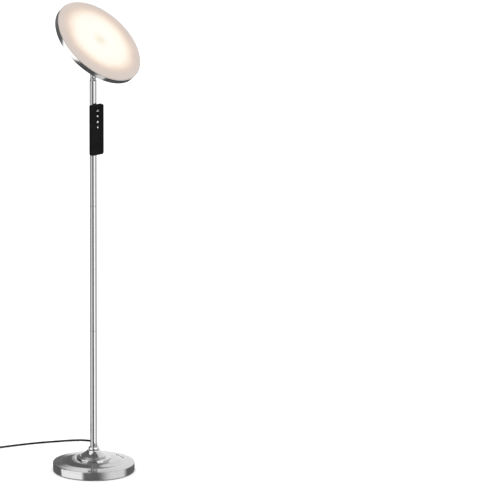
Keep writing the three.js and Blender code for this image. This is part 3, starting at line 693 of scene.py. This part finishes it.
def make_materials():
    brushed_metal("brushed_steel", (0.62, 0.62, 0.62), 0.12)
    brushed_metal("brushed_tube", (0.42, 0.42, 0.42), 0.11, lengthwise=True)
    brushed_metal("satin_nickel", (0.80, 0.795, 0.785), 0.13, HEAD_AXES)
    polished_metal("polished_steel", (0.70, 0.70, 0.70), 0.07)
    plain_metal("plain_steel", (0.50, 0.50, 0.51), 0.36)
    plain_metal("brass", (0.72, 0.53, 0.25), 0.3)
    cast_iron("cast_iron")
    circuit_board("board_aluminium", (0.78, 0.78, 0.76))
    circuit_board("circuit_board", (0.02, 0.16, 0.06))
    opal_diffuser("opal_diffuser")
    moulded_plastic("remote_plastic", (0.0035, 0.0035, 0.0037), 0.42, specular=0.05)
    moulded_plastic("button_plastic", (0.0018, 0.0018, 0.0019), 0.5, specular=0.03)
    moulded_plastic("dark_plastic", (0.011, 0.011, 0.012), 0.4, specular=0.35)
    moulded_plastic("smoked_lens", (0.06, 0.012, 0.012), 0.12, depth=0.00001)
    moulded_plastic("nylon", (0.03, 0.03, 0.03), 0.55)
    moulded_plastic("cable", (0.008, 0.008, 0.008), 0.45, 2400.0, specular=0.3)
    moulded_plastic("foam", (0.02, 0.02, 0.02), 0.95, 700.0, 0.0004, 0.1)
    moulded_plastic("ink", (0.72, 0.72, 0.71), 0.6, specular=0.2)


# ---------------- pieces and the frame


def dress(piece, material):
    piece.data.materials.clear()
    piece.data.materials.append(MATERIALS[material])


def stand_for(piece, *nodes, material=None):
    """The piece takes the body and the finish of the CAD nodes that it stands for."""
    first = frame["nodes"][nodes[0]]
    slot = SLOT_OF_NODE[nodes[0]]
    dress(piece, material or slot)
    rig.ride(piece, first["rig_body"])
    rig.slot(piece, slot)
    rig.replaces(piece, *nodes)
    return piece


def box_mm(node):
    """Lowest and highest corners of a CAD node, in millimetres."""
    low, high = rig.box(node)
    return low / MM, high / MM


# ---------------- cord

CORD_RADIUS = 0.003
CORD_LENGTH = 1.8
CORD_EXIT = (0.0, 0.158, 0.0116)
CORD_HEIGHT = 0.0032
CORD_DROP = [
    (0, 0.1583, 0.0116), (0.001, 0.176, 0.0106), (0.003, 0.194, 0.008),
    (0.004, 0.212, 0.0052), (0.005, 0.232, 0.0035),
]
CORD_ON_FLOOR = [
    (0.006, 0.255), (0.0065, 0.280), (0.006, 0.303), (0.003, 0.321), (-0.005, 0.335),
    (-0.019, 0.345), (-0.038, 0.3495), (-0.060, 0.3495), (-0.084, 0.3455), (-0.109, 0.339),
    (-0.141, 0.3305), (-0.173, 0.321), (-0.206, 0.3095), (-0.238, 0.296), (-0.271, 0.281),
]
CORD_TO_COIL = [(-0.303, 0.2655, 0.0033), (-0.326, 0.254, 0.0036), (-0.347, 0.2445, 0.0041)]
CORD_TAIL = [
    (-0.3975, 0.166, 0.0092), (-0.396, 0.154, 0.0082), (-0.391, 0.141, 0.0082),
    (-0.385, 0.130, 0.0092), (-0.3808, 0.121, 0.0108), (-0.380, 0.1132, 0.011),
]
COIL_CENTRE = Vector((-0.354, 0.193, 0))
COIL_OUTER = 0.0435
COIL_INNER = 0.0274
COIL_LOW = 0.0046
COIL_HIGH = 0.0108
COIL_TURNS = 5.18
COIL_STEPS_PER_TURN = 16
COIL_ENTRY_ANGLE = math.radians(115.5)


def ease(share):
    share = min(1.0, max(0.0, share))
    return share * share * (3 - 2 * share)


def coil_points():
    """The cord winds inwards in the lower layer, rises, and winds outwards in the upper one."""
    steps = round(COIL_TURNS * COIL_STEPS_PER_TURN)
    points = []
    for i in range(steps + 1):
        share = i / steps
        angle = COIL_ENTRY_ANGLE + share * COIL_TURNS * math.tau
        depth = 1 - abs(2 * share - 1)
        radius = COIL_OUTER + (COIL_INNER - COIL_OUTER) * depth
        height = COIL_LOW + (COIL_HIGH - COIL_LOW) * ease((share - 0.46) / 0.08)
        flat = Vector((math.cos(angle), math.sin(angle), 0)) * radius
        points.append(COIL_CENTRE + flat + Vector((0, 0, height)))
    return points


def make_cord():
    on_floor = [(x, y, CORD_HEIGHT) for x, y in CORD_ON_FLOOR]
    route = [*CORD_DROP, *on_floor, *CORD_TO_COIL, *coil_points(), *CORD_TAIL]
    data = bpy.data.curves.new("cord", "CURVE")
    data.dimensions = "3D"
    data.resolution_u = 5
    data.bevel_depth = CORD_RADIUS
    data.bevel_resolution = 5
    data.use_fill_caps = True
    spline = data.splines.new("BEZIER")
    spline.bezier_points.add(len(route) - 1)
    for knot, place in zip(spline.bezier_points, route):
        knot.co = place
        knot.handle_left_type = knot.handle_right_type = "AUTO"
    cord = bpy.data.objects.new("power_cord", data)
    bpy.context.scene.collection.objects.link(cord)
    stand_for(cord, "cord_run", "cord_coil", "cord_tail")
    return cord


def declare_cord(cord, pieces):
    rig.cord(
        cord,
        exit=CORD_EXIT,
        length=CORD_LENGTH,
        diameter=2 * CORD_RADIUS,
        far_end="plug",
        stiffness="medium",
        lay="coiled",
        with_pieces=pieces,
    )


def ribbed_tail(start, end, radius, taper):
    """Profile of a strain relief's ribs, which get smaller by taper, and of its end face."""
    ribs = 6
    pitch = (end - start) / ribs
    points = []
    for i in range(ribs):
        at = start + pitch * i
        rib = radius - taper * i / ribs
        points += [(rib - 0.8, at, 0.2), (rib - 0.8, at + pitch * 0.35, 0.2)]
        points += [(rib - 0.05, at + pitch * 0.4, 0.3), (rib - 0.12, at + pitch * 0.95, 0.3)]
    return points + [(3.4, end, 0.2), (0, end)]


def make_grommet():
    """A ribbed strain relief that runs out of the base along +Y."""
    low, high = box_mm("cord_grommet")
    flange = low.y
    wall = BASE_RADIUS - 1.5
    profile = [(0, flange), (7.0, flange, 0.5), (7.0, wall - 1, 0.3), (5.4, wall - 1), (5.4, wall + 6, 0.4)]
    profile += ribbed_tail(wall + 7, high.y, 5.2, 1.3)
    place = Matrix.Translation((0, 0, CORD_EXIT[2])) @ ALONG_Y
    return stand_for(lathe("cord_strain_relief", profile, 40, place), "cord_grommet")


def make_tie():
    """A strap round the coil's bundle of turns."""
    heading = math.radians(-60)
    bundle_middle = 35.4
    height_middle = 7.9
    place = (
        Matrix.Translation(COIL_CENTRE)
        @ Matrix.Rotation(heading, 4, "Z")
        @ Matrix.Translation((bundle_middle * MM, 0, height_middle * MM))
        @ Matrix.Rotation(math.pi / 2, 4, "X")
    )
    profile = [(0, -4.4, 0.3), (0, 4.4, 0.3), (1.0, 4.4, 0.3), (1.0, -4.4, 0.3)]
    strap = slab("coil_strap", rounded_rectangle(27.2, 15.2, 5.0), profile, closed=True, place=place)
    return stand_for(strap, "coil_tie")


def make_adapter():
    low, high = box_mm("adapter_body")
    middle = (low + high) / 2
    outline = rounded_rectangle(high.x - low.x, high.y - low.y, 5.0)
    place = Matrix.Translation((middle.x * MM, middle.y * MM, 0))
    seam = middle.z
    profile = [(4.0, low.z), (0, low.z, 3.0), (0, seam - 0.5, 0.2), (0.5, seam - 0.3)]
    profile += [(0.5, seam + 0.3), (0, seam + 0.5, 0.2), (0, high.z, 3.0), (4.0, high.z)]
    body = slab("adapter_case", outline, profile, place=place)
    panel_place = place @ Matrix.Translation((0, -4 * MM, 0))
    combine(body, "DIFFERENCE", cutter_block(27, 36, high.z - 0.5, high.z + 1, panel_place, 2.5, 8))
    stand_for(body, "adapter_body")

    low, high = box_mm("adapter_strain_relief")
    profile = [(0, low.y), (5.2, low.y, 0.3), (5.2, low.y + 3.6, 0.6)]
    profile += ribbed_tail(low.y + 4.4, high.y, 5.0, 1.2)
    place = Matrix.Translation((middle.x * MM, 0, (low.z + high.z) / 2 * MM)) @ ALONG_Y
    relief = stand_for(lathe("adapter_relief", profile, 40, place), "adapter_strain_relief")
    return [body, relief] + [make_blade(side) for side in ("left", "right")]


def make_blade(side):
    """A flat blade with rounded tip corners and a hole near the tip."""
    low, high = box_mm(f"adapter_blade_{side}")
    middle = (low + high) / 2
    length = high.y - low.y
    outline = rounded_rectangle(high.z - low.z, length, 1.2)
    place = Matrix.Translation(middle * MM) @ Matrix.Rotation(math.pi / 2, 4, "Y")
    half = (high.x - low.x) / 2
    blade = slab(f"adapter_prong_{side}", outline, flat_ring(1, 0, -half, half, 0.3), place=place)
    hole = cutter_disc(1.6, -half - 1, half + 1, place, 4 - length / 2, 24)
    combine(blade, "DIFFERENCE", hole)
    return stand_for(blade, f"adapter_blade_{side}")


# ---------------- base


def cover_height(radius):
    """Top face of the cover: a gentle slope that flattens towards the hub, with one soft step."""
    width = COVER_SHOULDER - BASE_HUB_RADIUS
    rise = BASE_HUB_TOP - BASE_RIM_TOP
    share = (COVER_SHOULDER - radius) / width
    rim_slope, hub_slope = 0.149, 0.061
    slope_rise = width * share * (rim_slope - (rim_slope - hub_slope) * share / 2)
    step_rise = rise - width * (rim_slope + hub_slope) / 2
    step_start, step_width = 0.40, 0.42
    return BASE_RIM_TOP + slope_rise + step_rise * ease((share - step_start) / step_width)


def touch_block(name, clearance, thickness, fillet):
    """The touch bar's block, or with a clearance the cutter for its slot."""
    height = cover_height(TOUCH_BAR_RADIUS) - 1.0
    place = (
        Matrix.Rotation(TOUCH_HEADING, 4, "Z")
        @ Matrix.Translation((TOUCH_BAR_RADIUS * MM, 0, height * MM))
        @ Matrix.Rotation(TOUCH_LEAN, 4, "Y")
    )
    outline = rounded_rectangle(3.4 + 2 * clearance, 48 + 2 * clearance, 1.7)
    half = thickness / 2
    return slab(name, outline, [(1.2, -half), (0, -half), (0, half, fillet), (1.2, half)], place=place)


def make_base():
    stand_for(lathe("foam_pad", flat_ring(0, 124, 0, 2, 0.7), 128), "base_pad")

    bottom = box_mm("base_cover")[0].z
    top_steps = 26
    outer = [(BASE_RADIUS - 0.6, bottom), (BASE_RADIUS, bottom + 0.8, 0.5), (BASE_RADIUS, BASE_RIM_TOP, 2.0)]
    inner = []
    for i in range(1, top_steps + 1):
        radius = COVER_SHOULDER - (i / top_steps) * (COVER_SHOULDER - BASE_HUB_RADIUS)
        outer.append((radius, cover_height(radius)))
        inner.append((radius, cover_height(radius) - COVER_WALL))
    outer += [(5.5, BASE_HUB_TOP), (5.5, BASE_HUB_TOP - COVER_WALL)]
    inner_radius = BASE_RADIUS - COVER_WALL
    inner_side = [(inner_radius, BASE_RIM_TOP - COVER_WALL, 1.0), (inner_radius, bottom)]
    cover = lathe("base_shell", outer + inner[::-1] + inner_side, 192)
    hole = cutter_disc(CORD_HOLE, 120, 140, Matrix.Translation((0, 0, CORD_EXIT[2])) @ ALONG_Y)
    combine(cover, "DIFFERENCE", hole, touch_block("cutter", 0.35, 8, 0.1))
    stand_for(cover, "base_cover")
    stand_for(touch_block("touch_strip", 0, 2.6, 0.5), "touch_bar")

    ring = [(5.5, 42.3), (56, 42.3, 0.4), (56, 46.9, 1.8), (46.6, 47.2, 1.2), (45.2, 51, 1.6), (5.5, 51)]
    stand_for(lathe("step_ring", ring, 128), "base_step_ring")
    stand_for(lathe("pole_bell", bell_profile(), 128), "base_bell")
    low, high = box_mm("base_bead")
    bead = flat_ring(11.8, 17.2, low.z, high.z, 5.0)
    stand_for(lathe("pole_bead", bead, 96), "base_bead")


def bell_profile():
    """A flare that is steep under the bead and runs out to a thin rounded foot."""
    low, high = box_mm("base_bell")
    foot, collar = 41.5, 21.6
    profile = [(11.8, low.z), (foot, low.z, 0.4), (foot, low.z + 1.2, 0.5)]
    start = low.z + 1.5
    steps = 22
    for i in range(steps + 1):
        share = i / steps
        radius = collar + (foot - 0.8 - collar) * (1 - share) ** 1.45
        profile.append((radius, start + (high.z - start) * share))
    profile[-1] = (collar, high.z, 0.8)
    return profile + [(11.8, high.z)]


# ---------------- pole and neck


def make_pole():
    for section in ("lower", "middle", "upper"):
        low, high = box_mm(f"pole_{section}")
        profile = [(POLE_BORE, low.z, 0.2), (POLE_RADIUS, low.z, 0.5)]
        profile += [(POLE_RADIUS, high.z, 0.5), (POLE_BORE, high.z, 0.2)]
        tube = lathe(f"pole_section_{section}", profile, 96)
        stand_for(tube, f"pole_{section}", material="brushed_tube")

    low, high = box_mm("pole_top_bush")
    flare = high.z - 8.5
    bush = [(5, low.z, 0.4), (10.2, low.z, 0.6), (10.2, flare + 0.3), (11.0, flare + 0.3, 0.2)]
    bush += [(10.9, flare + 1.4, 0.5), (9.5, flare + 4.0, 1.0), (NECK_RADIUS, high.z, 0.3), (5, high.z, 0.3)]
    stand_for(lathe("pole_collar", bush, 96), "pole_top_bush", material="brushed_tube")


def make_neck():
    low, high = box_mm("neck_tube")
    bore = 7.6
    floor = low.z + 4
    tube = [(5, low.z, 0.2), (NECK_RADIUS, low.z, 0.4), (NECK_RADIUS, high.z, 0.4)]
    tube += [(bore, high.z, 0.2), (bore, floor), (5, floor)]
    stand_for(lathe("neck_sleeve", tube, 96, NECK_AXES), "neck_tube", material="brushed_tube")

    low, high = box_mm("neck_washer")
    washer = flat_ring(5, 8.9, low.z, high.z, 0.2)
    stand_for(lathe("swivel_washer", washer, 64, NECK_AXES), "neck_washer")

    pivot = JOINTS["head_tilt"]["pos_m"][2] / MM
    top = box_mm("neck_tube")[1].z
    plug = [(0, top - 22), (7.3, top - 22, 0.5), (7.3, top + 0.3)]
    plug += [(NECK_RADIUS, top + 0.3, 0.2), (NECK_RADIUS, top + 2, 0.8), (0, top + 2)]
    knuckle = lathe("tilt_knuckle", plug, 96, NECK_AXES)
    tongue_place = NECK_AXES @ Matrix.Translation((0, 0, pivot * MM)) @ ALONG_Y
    tongue = ear("tongue", pivot - top - 1, 2 * TONGUE_HALF, tongue_place)
    combine(knuckle, "UNION", tongue)
    combine(knuckle, "DIFFERENCE", cutter_disc(BOLT_HOLE, -10, 10, tongue_place))
    stand_for(knuckle, "neck_knuckle")


def ear(name, reach, thickness, place):
    """An upright ear about local Z, with a round end at -Y and a square end at +Y."""

    def outline(inset):
        radius = EAR_RADIUS - inset
        points = [(radius, reach), (-radius, reach)]
        steps = 24
        for i in range(steps + 1):
            angle = math.pi + math.pi * i / steps
            points.append((radius * math.cos(angle), radius * math.sin(angle)))
        return points

    profile = flat_ring(1.0, 0, -thickness / 2, thickness / 2, 0.5)
    return slab(name, outline, profile, place=place)


# ---------------- head


def make_head():
    inner = HEAD_RADIUS - 1.6
    housing = [(5, 12.5), (52, 12.5, 4.0), (58, 18.5, 4.0), (HEAD_RADIUS, 18.5, 1.4)]
    housing += [(HEAD_RADIUS, 35.5, 0.6), (inner, 35.5, 0.5), (inner, 20.1, 1.6)]
    housing += [(57.2, 20.1, 2.6), (51.2, 14.1, 2.6), (5, 14.1)]
    shell = lathe("head_shell", housing, 256, HEAD_AXES)
    combine(shell, "DIFFERENCE", *screw_holes(11, 16))
    stand_for(shell, "head_housing")

    radius = HEAD_RADIUS - 2.0
    dome_steps = 20
    dish = [(0, 40.6), (radius - 12, 39.2, 3.0), (radius - 2.4, 37.0, 1.5), (radius - 2.4, 30)]
    dish += [(radius, 30, 0.3), (radius, 39.4, 7.0)]
    for i in range(dome_steps + 1):
        share = 1 - i / dome_steps
        dish.append(((radius - 8) * share, 43 - 1.35 * share ** 3))
    stand_for(lathe("diffuser_dish", dish, 256, HEAD_AXES), "diffuser")

    make_tilt_bracket()
    make_tilt_bolt()
    for side, sign in (("left", 1), ("right", -1)):
        make_bracket_screw(f"bracket_screw_{side}", sign)


def screw_holes(bottom, top):
    return [cutter_disc(SCREW_HOLE, bottom, top, HEAD_AXES, y, 24) for y in (-SCREW_OFFSET, SCREW_OFFSET)]


def make_tilt_bracket():
    bracket = lathe("tilt_bracket", flat_ring(5, 20, 10.2, 12.2, 0.5), 96, HEAD_AXES)
    ears = []
    for side in (-1, 1):
        middle = side * (TONGUE_HALF + EAR_GAP + EAR_THICKNESS / 2) * MM
        place = HEAD_AXES @ Matrix.Translation((0, middle, 0)) @ Matrix.Rotation(math.pi / 2, 4, "X")
        ears.append(ear("ear", 11.8, EAR_THICKNESS, place))
    combine(bracket, "UNION", *ears)
    combine(bracket, "DIFFERENCE", cutter_disc(BOLT_HOLE, -12, 12, HEAD_AXES @ ALONG_Y), *screw_holes(8, 14))
    stand_for(bracket, "head_bracket")


def make_tilt_bolt():
    """The bolt across the ears with its hexagonal socket, the nut and the two friction washers."""
    across = HEAD_AXES @ Matrix.Rotation(math.pi / 2, 4, "X")
    outer = TONGUE_HALF + EAR_GAP + EAR_THICKNESS
    under_head = -outer - 0.3
    bolt = [(0, under_head - 3), (6, under_head - 3, 0.8), (6, under_head, 0.2)]
    bolt += [(BOLT_RADIUS, under_head), (BOLT_RADIUS, outer)]
    bolt += thread(BOLT_RADIUS, outer + 0.2, outer + 4.9) + [(2.2, outer + 5.2), (0, outer + 5.2)]
    made = lathe("tilt_bolt", bolt, 48, across)
    socket = [circle(2.6, height, 6) for height in (-outer - 5, -outer - 1.4)]
    combine(made, "DIFFERENCE", skin("cutter", socket, place=across))
    stand_for(made, "hinge_bolt")
    stand_for(hex_nut("tilt_nut", 6, 3.1, outer + 0.3, outer + 4.3, across), "hinge_nut")
    for side, sign in (("left", 1), ("right", -1)):
        low, high = sorted((sign * 4.3, sign * 5.1))
        washer = flat_ring(BOLT_HOLE, 7.5, low, high, 0.2)
        stand_for(lathe(f"tilt_washer_{side}", washer, 48, across), f"hinge_washer_{side}")


def make_bracket_screw(node, sign):
    """A pan-head screw with a cross recess."""
    place = HEAD_AXES @ Matrix.Translation((0, sign * SCREW_OFFSET * MM, 0))
    screw = [(0, 7.5), (3.2, 7.5, 1.8), (3.2, 9.6, 0.2), (SCREW_RADIUS, 9.6)]
    screw += thread(SCREW_RADIUS, 9.9, 14.8, 0.6, 0.2) + [(0, 15.1)]
    made = lathe(f"{node}_pan_head", screw, 40, place)
    bars = [cutter_block(0.8, 3.6, 6.5, 8.7, place), cutter_block(3.6, 0.8, 6.5, 8.7, place)]
    combine(made, "DIFFERENCE", *bars)
    stand_for(made, node)


# ---------------- remote


def make_remote():
    outline = rounded_rectangle(REMOTE_WIDTH, REMOTE_HEIGHT, REMOTE_CORNER)
    inner_face = REMOTE_FACE - REMOTE_WALL
    seam = REMOTE_SPLIT + 0.3
    front = [(REMOTE_WALL, inner_face), (REMOTE_WALL, seam), (0, seam, 0.3)]
    front += [(0, REMOTE_FACE, 1.6), (4, REMOTE_FACE)]
    shell = slab("remote_front_shell", outline, front, place=REMOTE_AXES)
    hole_radius = BUTTON_RADIUS + BUTTON_GAP
    holes = [cutter_disc(hole_radius, 20, 30, REMOTE_AXES, y) for y in BUTTON_HEIGHTS.values()]
    holes.append(cutter_disc(1.7, 20, 30, REMOTE_AXES, INDICATOR_HEIGHT, 32))
    combine(shell, "DIFFERENCE", *holes)
    stand_for(shell, "remote_front")

    back = [(4, REMOTE_BACK), (0, REMOTE_BACK, 2.2), (0, REMOTE_SPLIT, 0.3)]
    back += [(REMOTE_WALL, REMOTE_SPLIT), (REMOTE_WALL, REMOTE_BACK + REMOTE_WALL)]
    shell = slab("remote_back_shell", outline, back, place=REMOTE_AXES)
    slot_place = REMOTE_AXES @ Matrix.Translation((0, -REMOTE_HEIGHT / 2 * MM, 0))
    slot = cutter_block(26.6, 10, REMOTE_BACK + REMOTE_WALL, REMOTE_SPLIT + 5, slot_place)
    combine(shell, "DIFFERENCE", slot)
    stand_for(shell, "remote_back")

    lens = [(0, 21.2), (1.4, 21.2), (1.4, 24.7, 0.4), (0, 24.7)]
    lens_place = REMOTE_AXES @ Matrix.Translation((0, INDICATOR_HEIGHT * MM, 0))
    stand_for(lathe("indicator_lens", lens, 32, lens_place), "remote_indicator")

    for name, y in BUTTON_HEIGHTS.items():
        make_button(name, y)


def make_button(name, y):
    """A round cap with a shallow dish, a flange behind the face, and a printed symbol."""
    place = REMOTE_AXES @ Matrix.Translation((0, y * MM, 0))
    top = REMOTE_FACE + 0.6
    dish_depth = 0.25
    cap = [(0, 20.8), (6.9, 20.8, 0.3), (6.9, 22.9, 0.3)]
    cap += [(BUTTON_RADIUS, 22.9), (BUTTON_RADIUS, top, 0.5)]
    cap += [(4.8, top, 0.3), (4.5, top - dish_depth, 0.3), (0, top - dish_depth)]
    button = stand_for(lathe(f"{name}_button", cap, 64, place), f"button_{name}")
    symbol = new_symbol(name, top - dish_depth, place)
    dress(symbol, "ink")
    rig.ride(symbol, button["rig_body"])


def ring_part(inner, outer, start, end, steps=28):
    """Flat outline of a ring's arc, or of a wedge where inner is 0, between two angles."""
    angles = [math.radians(start + (end - start) * i / steps) for i in range(steps + 1)]
    points = [(outer * math.cos(a), outer * math.sin(a)) for a in angles]
    if inner == 0:
        return points if end - start < 360 else points[:-1]
    return points + [(inner * math.cos(a), inner * math.sin(a)) for a in reversed(angles)]


def ray(angle, start, end, width):
    """Flat outline of a short bar that points away from the middle."""
    along = Vector((math.cos(math.radians(angle)), math.sin(math.radians(angle))))
    side = Vector((-along.y, along.x)) * width / 2
    return [along * start + side, along * start - side, along * end - side, along * end + side]


SYMBOLS = {
    "power": [ring_part(2.3, 3.3, 125, 415), ray(90, 1.4, 4.0, 0.9)],
    "tone": [ring_part(0, 3.1, 95, 265), ring_part(2.3, 3.1, -85, 85)],
    "brighter": [ring_part(0, 2.1, 0, 360)] + [ray(a, 2.6, 4.1, 0.8) for a in range(0, 360, 45)],
    "dimmer": [ring_part(0, 1.7, 0, 360)] + [ray(a, 2.3, 3.1, 0.8) for a in range(0, 360, 45)],
}


def new_symbol(name, height, place):
    """The printed symbol of a button, as a layer of ink on the cap."""
    builder = bmesh.new()
    ink = 0.05
    for outline in SYMBOLS[name]:
        low = [builder.verts.new(Vector((x, y, height - ink)) * MM) for x, y in outline]
        high = [builder.verts.new(Vector((x, y, height + ink)) * MM) for x, y in outline]
        builder.faces.new(low)
        builder.faces.new(high)
        for i in range(len(outline)):
            j = (i + 1) % len(outline)
            builder.faces.new((low[i], low[j], high[j], high[i]))
    bmesh.ops.recalc_face_normals(builder, faces=builder.faces)
    bmesh.ops.triangulate(builder, faces=builder.faces)
    mesh = bpy.data.meshes.new(f"{name}_symbol")
    builder.to_mesh(mesh)
    builder.free()
    return new_piece(f"{name}_symbol", mesh, place)


# ---------------- studio

# What the metal reflects: light and dark panels on a dome round the lamp. Each has an azimuth
# range and an elevation range in degrees, the half-width of its soft edges (left, right, lower,
# upper), and its brightness. Azimuth 0 is towards the camera, 90 to the right and 180 behind.
# A panel that reaches past BACK_SEAM is measured from 0 to 360, and any other from -180 to 180.
# Each panel covers those before it.
DOME_BRIGHTNESS = 1.0
BACK_SEAM = 182
PANELS = [
    ("overhead", (-181, 181), (58, 91), (1, 1, 5, 1), 0.17),
    ("right, high", (56, 142), (40, 67), (10, 8, 4, 4), 0.85),
    ("rear left", (186.5, 262), (-60, 91), (1.5, 1, 2, 1), 0.16),
    ("rear left, low", (182.5, 262), (-60, 24), (0.6, 1, 1, 4), 0.16),
    ("rear, high", (178.5, 262), (39, 91), (1, 1, 2, 1), 0.16),
    ("rear middle", (170.5, 181.5), (33, 91), (3.5, 1, 3, 1), 0.2),
    ("left softbox", (-104, -31), (-27, 73), (2, 6, 2.5, 4), 1.28),
    ("left flag", (-130, -88), (-7, 50), (2, 3, 4, 4), 0.12),
    ("front", (-31, 32), (-64, -4), (6, 21, 3, 3), 0.17),
    ("front, high", (-8, 18), (-8, 60), (4, 8, 3, 5), 0.17),
    ("below", (-181, 181), (-91, -28), (1, 1, 1, 2.5), 0.09),
    ("light below", (-12, 42), (-86, -64), (8, 10, 3, 3), 0.8),
]
STUDIO_WHITE = 1.45


def azimuth_of(nodes, x, y):
    """Degrees round the lamp from the camera's side."""
    turn = nodes.math("ARCTAN2", x, nodes.math("MULTIPLY", y, -1))
    return nodes.math("MULTIPLY", turn, math.degrees(1))


def soft_edge(nodes, angle, place, half_width):
    """0 before the place and 1 past it, or the other way round for a negative half-width."""
    return nodes.span(angle, place - half_width, place + half_width, smooth=True)


def make_dome():
    """The world: white to the camera, a soft white light, and panels in the reflections."""
    world = bpy.data.worlds.new("studio")
    bpy.context.scene.world = world
    world.use_nodes = True
    world.cycles.sampling_method = "NONE"
    world.node_tree.nodes.clear()
    nodes = Nodes(world.node_tree)
    direction = nodes.add("ShaderNodeTexCoord").outputs["Generated"]
    x, y, z = nodes.add("ShaderNodeSeparateXYZ", {0: direction}).outputs
    front = azimuth_of(nodes, x, y)
    below_zero = nodes.math("LESS_THAN", front, 0)
    round_the_back = nodes.math("ADD", front, nodes.math("MULTIPLY", below_zero, 360))
    elevation = nodes.math("MULTIPLY", nodes.math("ARCSINE", z), math.degrees(1))
    value = grey(DOME_BRIGHTNESS)
    for _, azimuths, elevations, soft, brightness in PANELS:
        azimuth = round_the_back if azimuths[1] > BACK_SEAM else front
        mask = soft_edge(nodes, azimuth, azimuths[0], soft[0])
        mask = nodes.math("MULTIPLY", mask, soft_edge(nodes, azimuth, azimuths[1], -soft[1]))
        mask = nodes.math("MULTIPLY", mask, soft_edge(nodes, elevation, elevations[0], soft[2]))
        mask = nodes.math("MULTIPLY", mask, soft_edge(nodes, elevation, elevations[1], -soft[3]))
        value = nodes.mix(mask, value, grey(brightness))
    path = nodes.add("ShaderNodeLightPath")
    light = nodes.mix(path.outputs["Is Glossy Ray"], grey(STUDIO_WHITE), value)
    seen = nodes.mix(path.outputs["Is Camera Ray"], light, grey(1.0))
    background = nodes.add("ShaderNodeBackground", {"Color": seen})
    output = nodes.add("ShaderNodeOutputWorld")
    world.node_tree.links.new(background.outputs[0], output.inputs[0])


# Cards that only reflections see: azimuth range and distance from the pole, lower and upper
# edge, brightness at the first azimuth and past the fade, and whether a grid narrows its beam.
# The light card stands inside the rim of the base and the rim's dark one outside it, so that the
# pole reflects only the first and the side of the base only the second. The three low dark cards
# shade the stepped ring, and the mirror image of the pole's foot in the front of the base.
CARDS = {
    "pole_card": ((13, 52), 0.12, 0.05, 1.3, (2.3, 2.3), True),
    "ring_card": ((-60, 66), 0.0545, 0.0478, 0.0565, (0.3, 0.3), False),
    "foot_card": ((-21, 13), 0.0605, 0.0425, 0.057, (0.17, 0.17), False),
    "bell_card": ((-20, 13), 0.0605, 0.064, 0.079, (0.17, 0.17), False),
    "rim_card": ((60, 142), 0.19, -0.6, 0.02, (1.0, 0.15), False),
}
CARD_FADE = 16
GRID_DARK = 0.17


def make_card(name):
    """An upright strip, curved round the pole."""
    azimuths, near, low, high, brightness, grid = CARDS[name]
    steps = 24
    corners = []
    for i in range(steps + 1):
        angle = math.radians(azimuths[0] + (azimuths[1] - azimuths[0]) * i / steps)
        x, y = near * math.sin(angle), -near * math.cos(angle)
        corners += [(x, y, low), (x, y, high)]
    faces = [(i, i + 1, i + 3, i + 2) for i in range(0, 2 * steps, 2)]
    mesh = bpy.data.meshes.new(name)
    mesh.from_pydata(corners, [], faces)
    card = new_piece(name, mesh)
    nodes, shader = new_material(name)
    point = nodes.point()
    nodes.set(shader.inputs["Base Color"], nodes.mix(nodes.noise(point, 2.0), grey(0), grey(0.01)))
    shader.inputs["Emission Color"].default_value = grey(1)
    x, y, _ = nodes.add("ShaderNodeSeparateXYZ", {0: point}).outputs
    azimuth = azimuth_of(nodes, x, y)
    fade = nodes.span(azimuth, azimuths[0], azimuths[0] + CARD_FADE, *brightness, smooth=True)
    if grid:
        slant = nodes.add("ShaderNodeLayerWeight", {"Blend": 0.5}).outputs["Facing"]
        beam = nodes.span(slant, 0.1, 0.25, 1.0, 0.0, smooth=True)
        fade = nodes.math("ADD", nodes.math("MULTIPLY", fade, beam), GRID_DARK)
    nodes.set(shader.inputs["Emission Strength"], fade)
    dress(card, name)
    for kind in ("camera", "diffuse", "shadow", "transmission"):
        setattr(card, f"visible_{kind}", False)
    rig.stage(card)


def make_floor():
    """A large pale floor. The metal reflects the dome's panels and not the floor."""
    half = 30.0
    mesh = bpy.data.meshes.new("floor")
    corners = [(-half, -half, 0), (half, -half, 0), (half, half, 0), (-half, half, 0)]
    mesh.from_pydata(corners, [], [(0, 1, 2, 3)])
    floor = new_piece("floor", mesh)
    nodes, shader = new_material("floor")
    tone = nodes.noise(nodes.point(), 3.0, 4.0)
    nodes.set(shader.inputs["Base Color"], nodes.mix(tone, grey(0.92), grey(0.94)))
    shader.inputs["Roughness"].default_value = 0.9
    shader.inputs["Specular IOR Level"].default_value = 0.0
    dress(floor, "floor")
    floor.visible_glossy = False
    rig.stage(floor)


# ---------------- the lamp

make_camera()
make_materials()
for node, piece in frame["nodes"].items():
    dress(piece, SLOT_OF_NODE[node])

power_cord = make_cord()
declare_cord(power_cord, [make_grommet(), make_tie(), *make_adapter()])
make_base()
make_pole()
make_neck()
make_head()
make_remote()
make_floor()
for card_name in CARDS:
    make_card(card_name)
make_dome()
bpy.context.scene.view_settings.view_transform = "Standard"

with open(SIZE_FILE, "w") as file:
    boxes = {"cad": CAD_BOX, "visual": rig.bounds()}
    json.dump({name: [list(corner) for corner in box] for name, box in boxes.items()}, file)
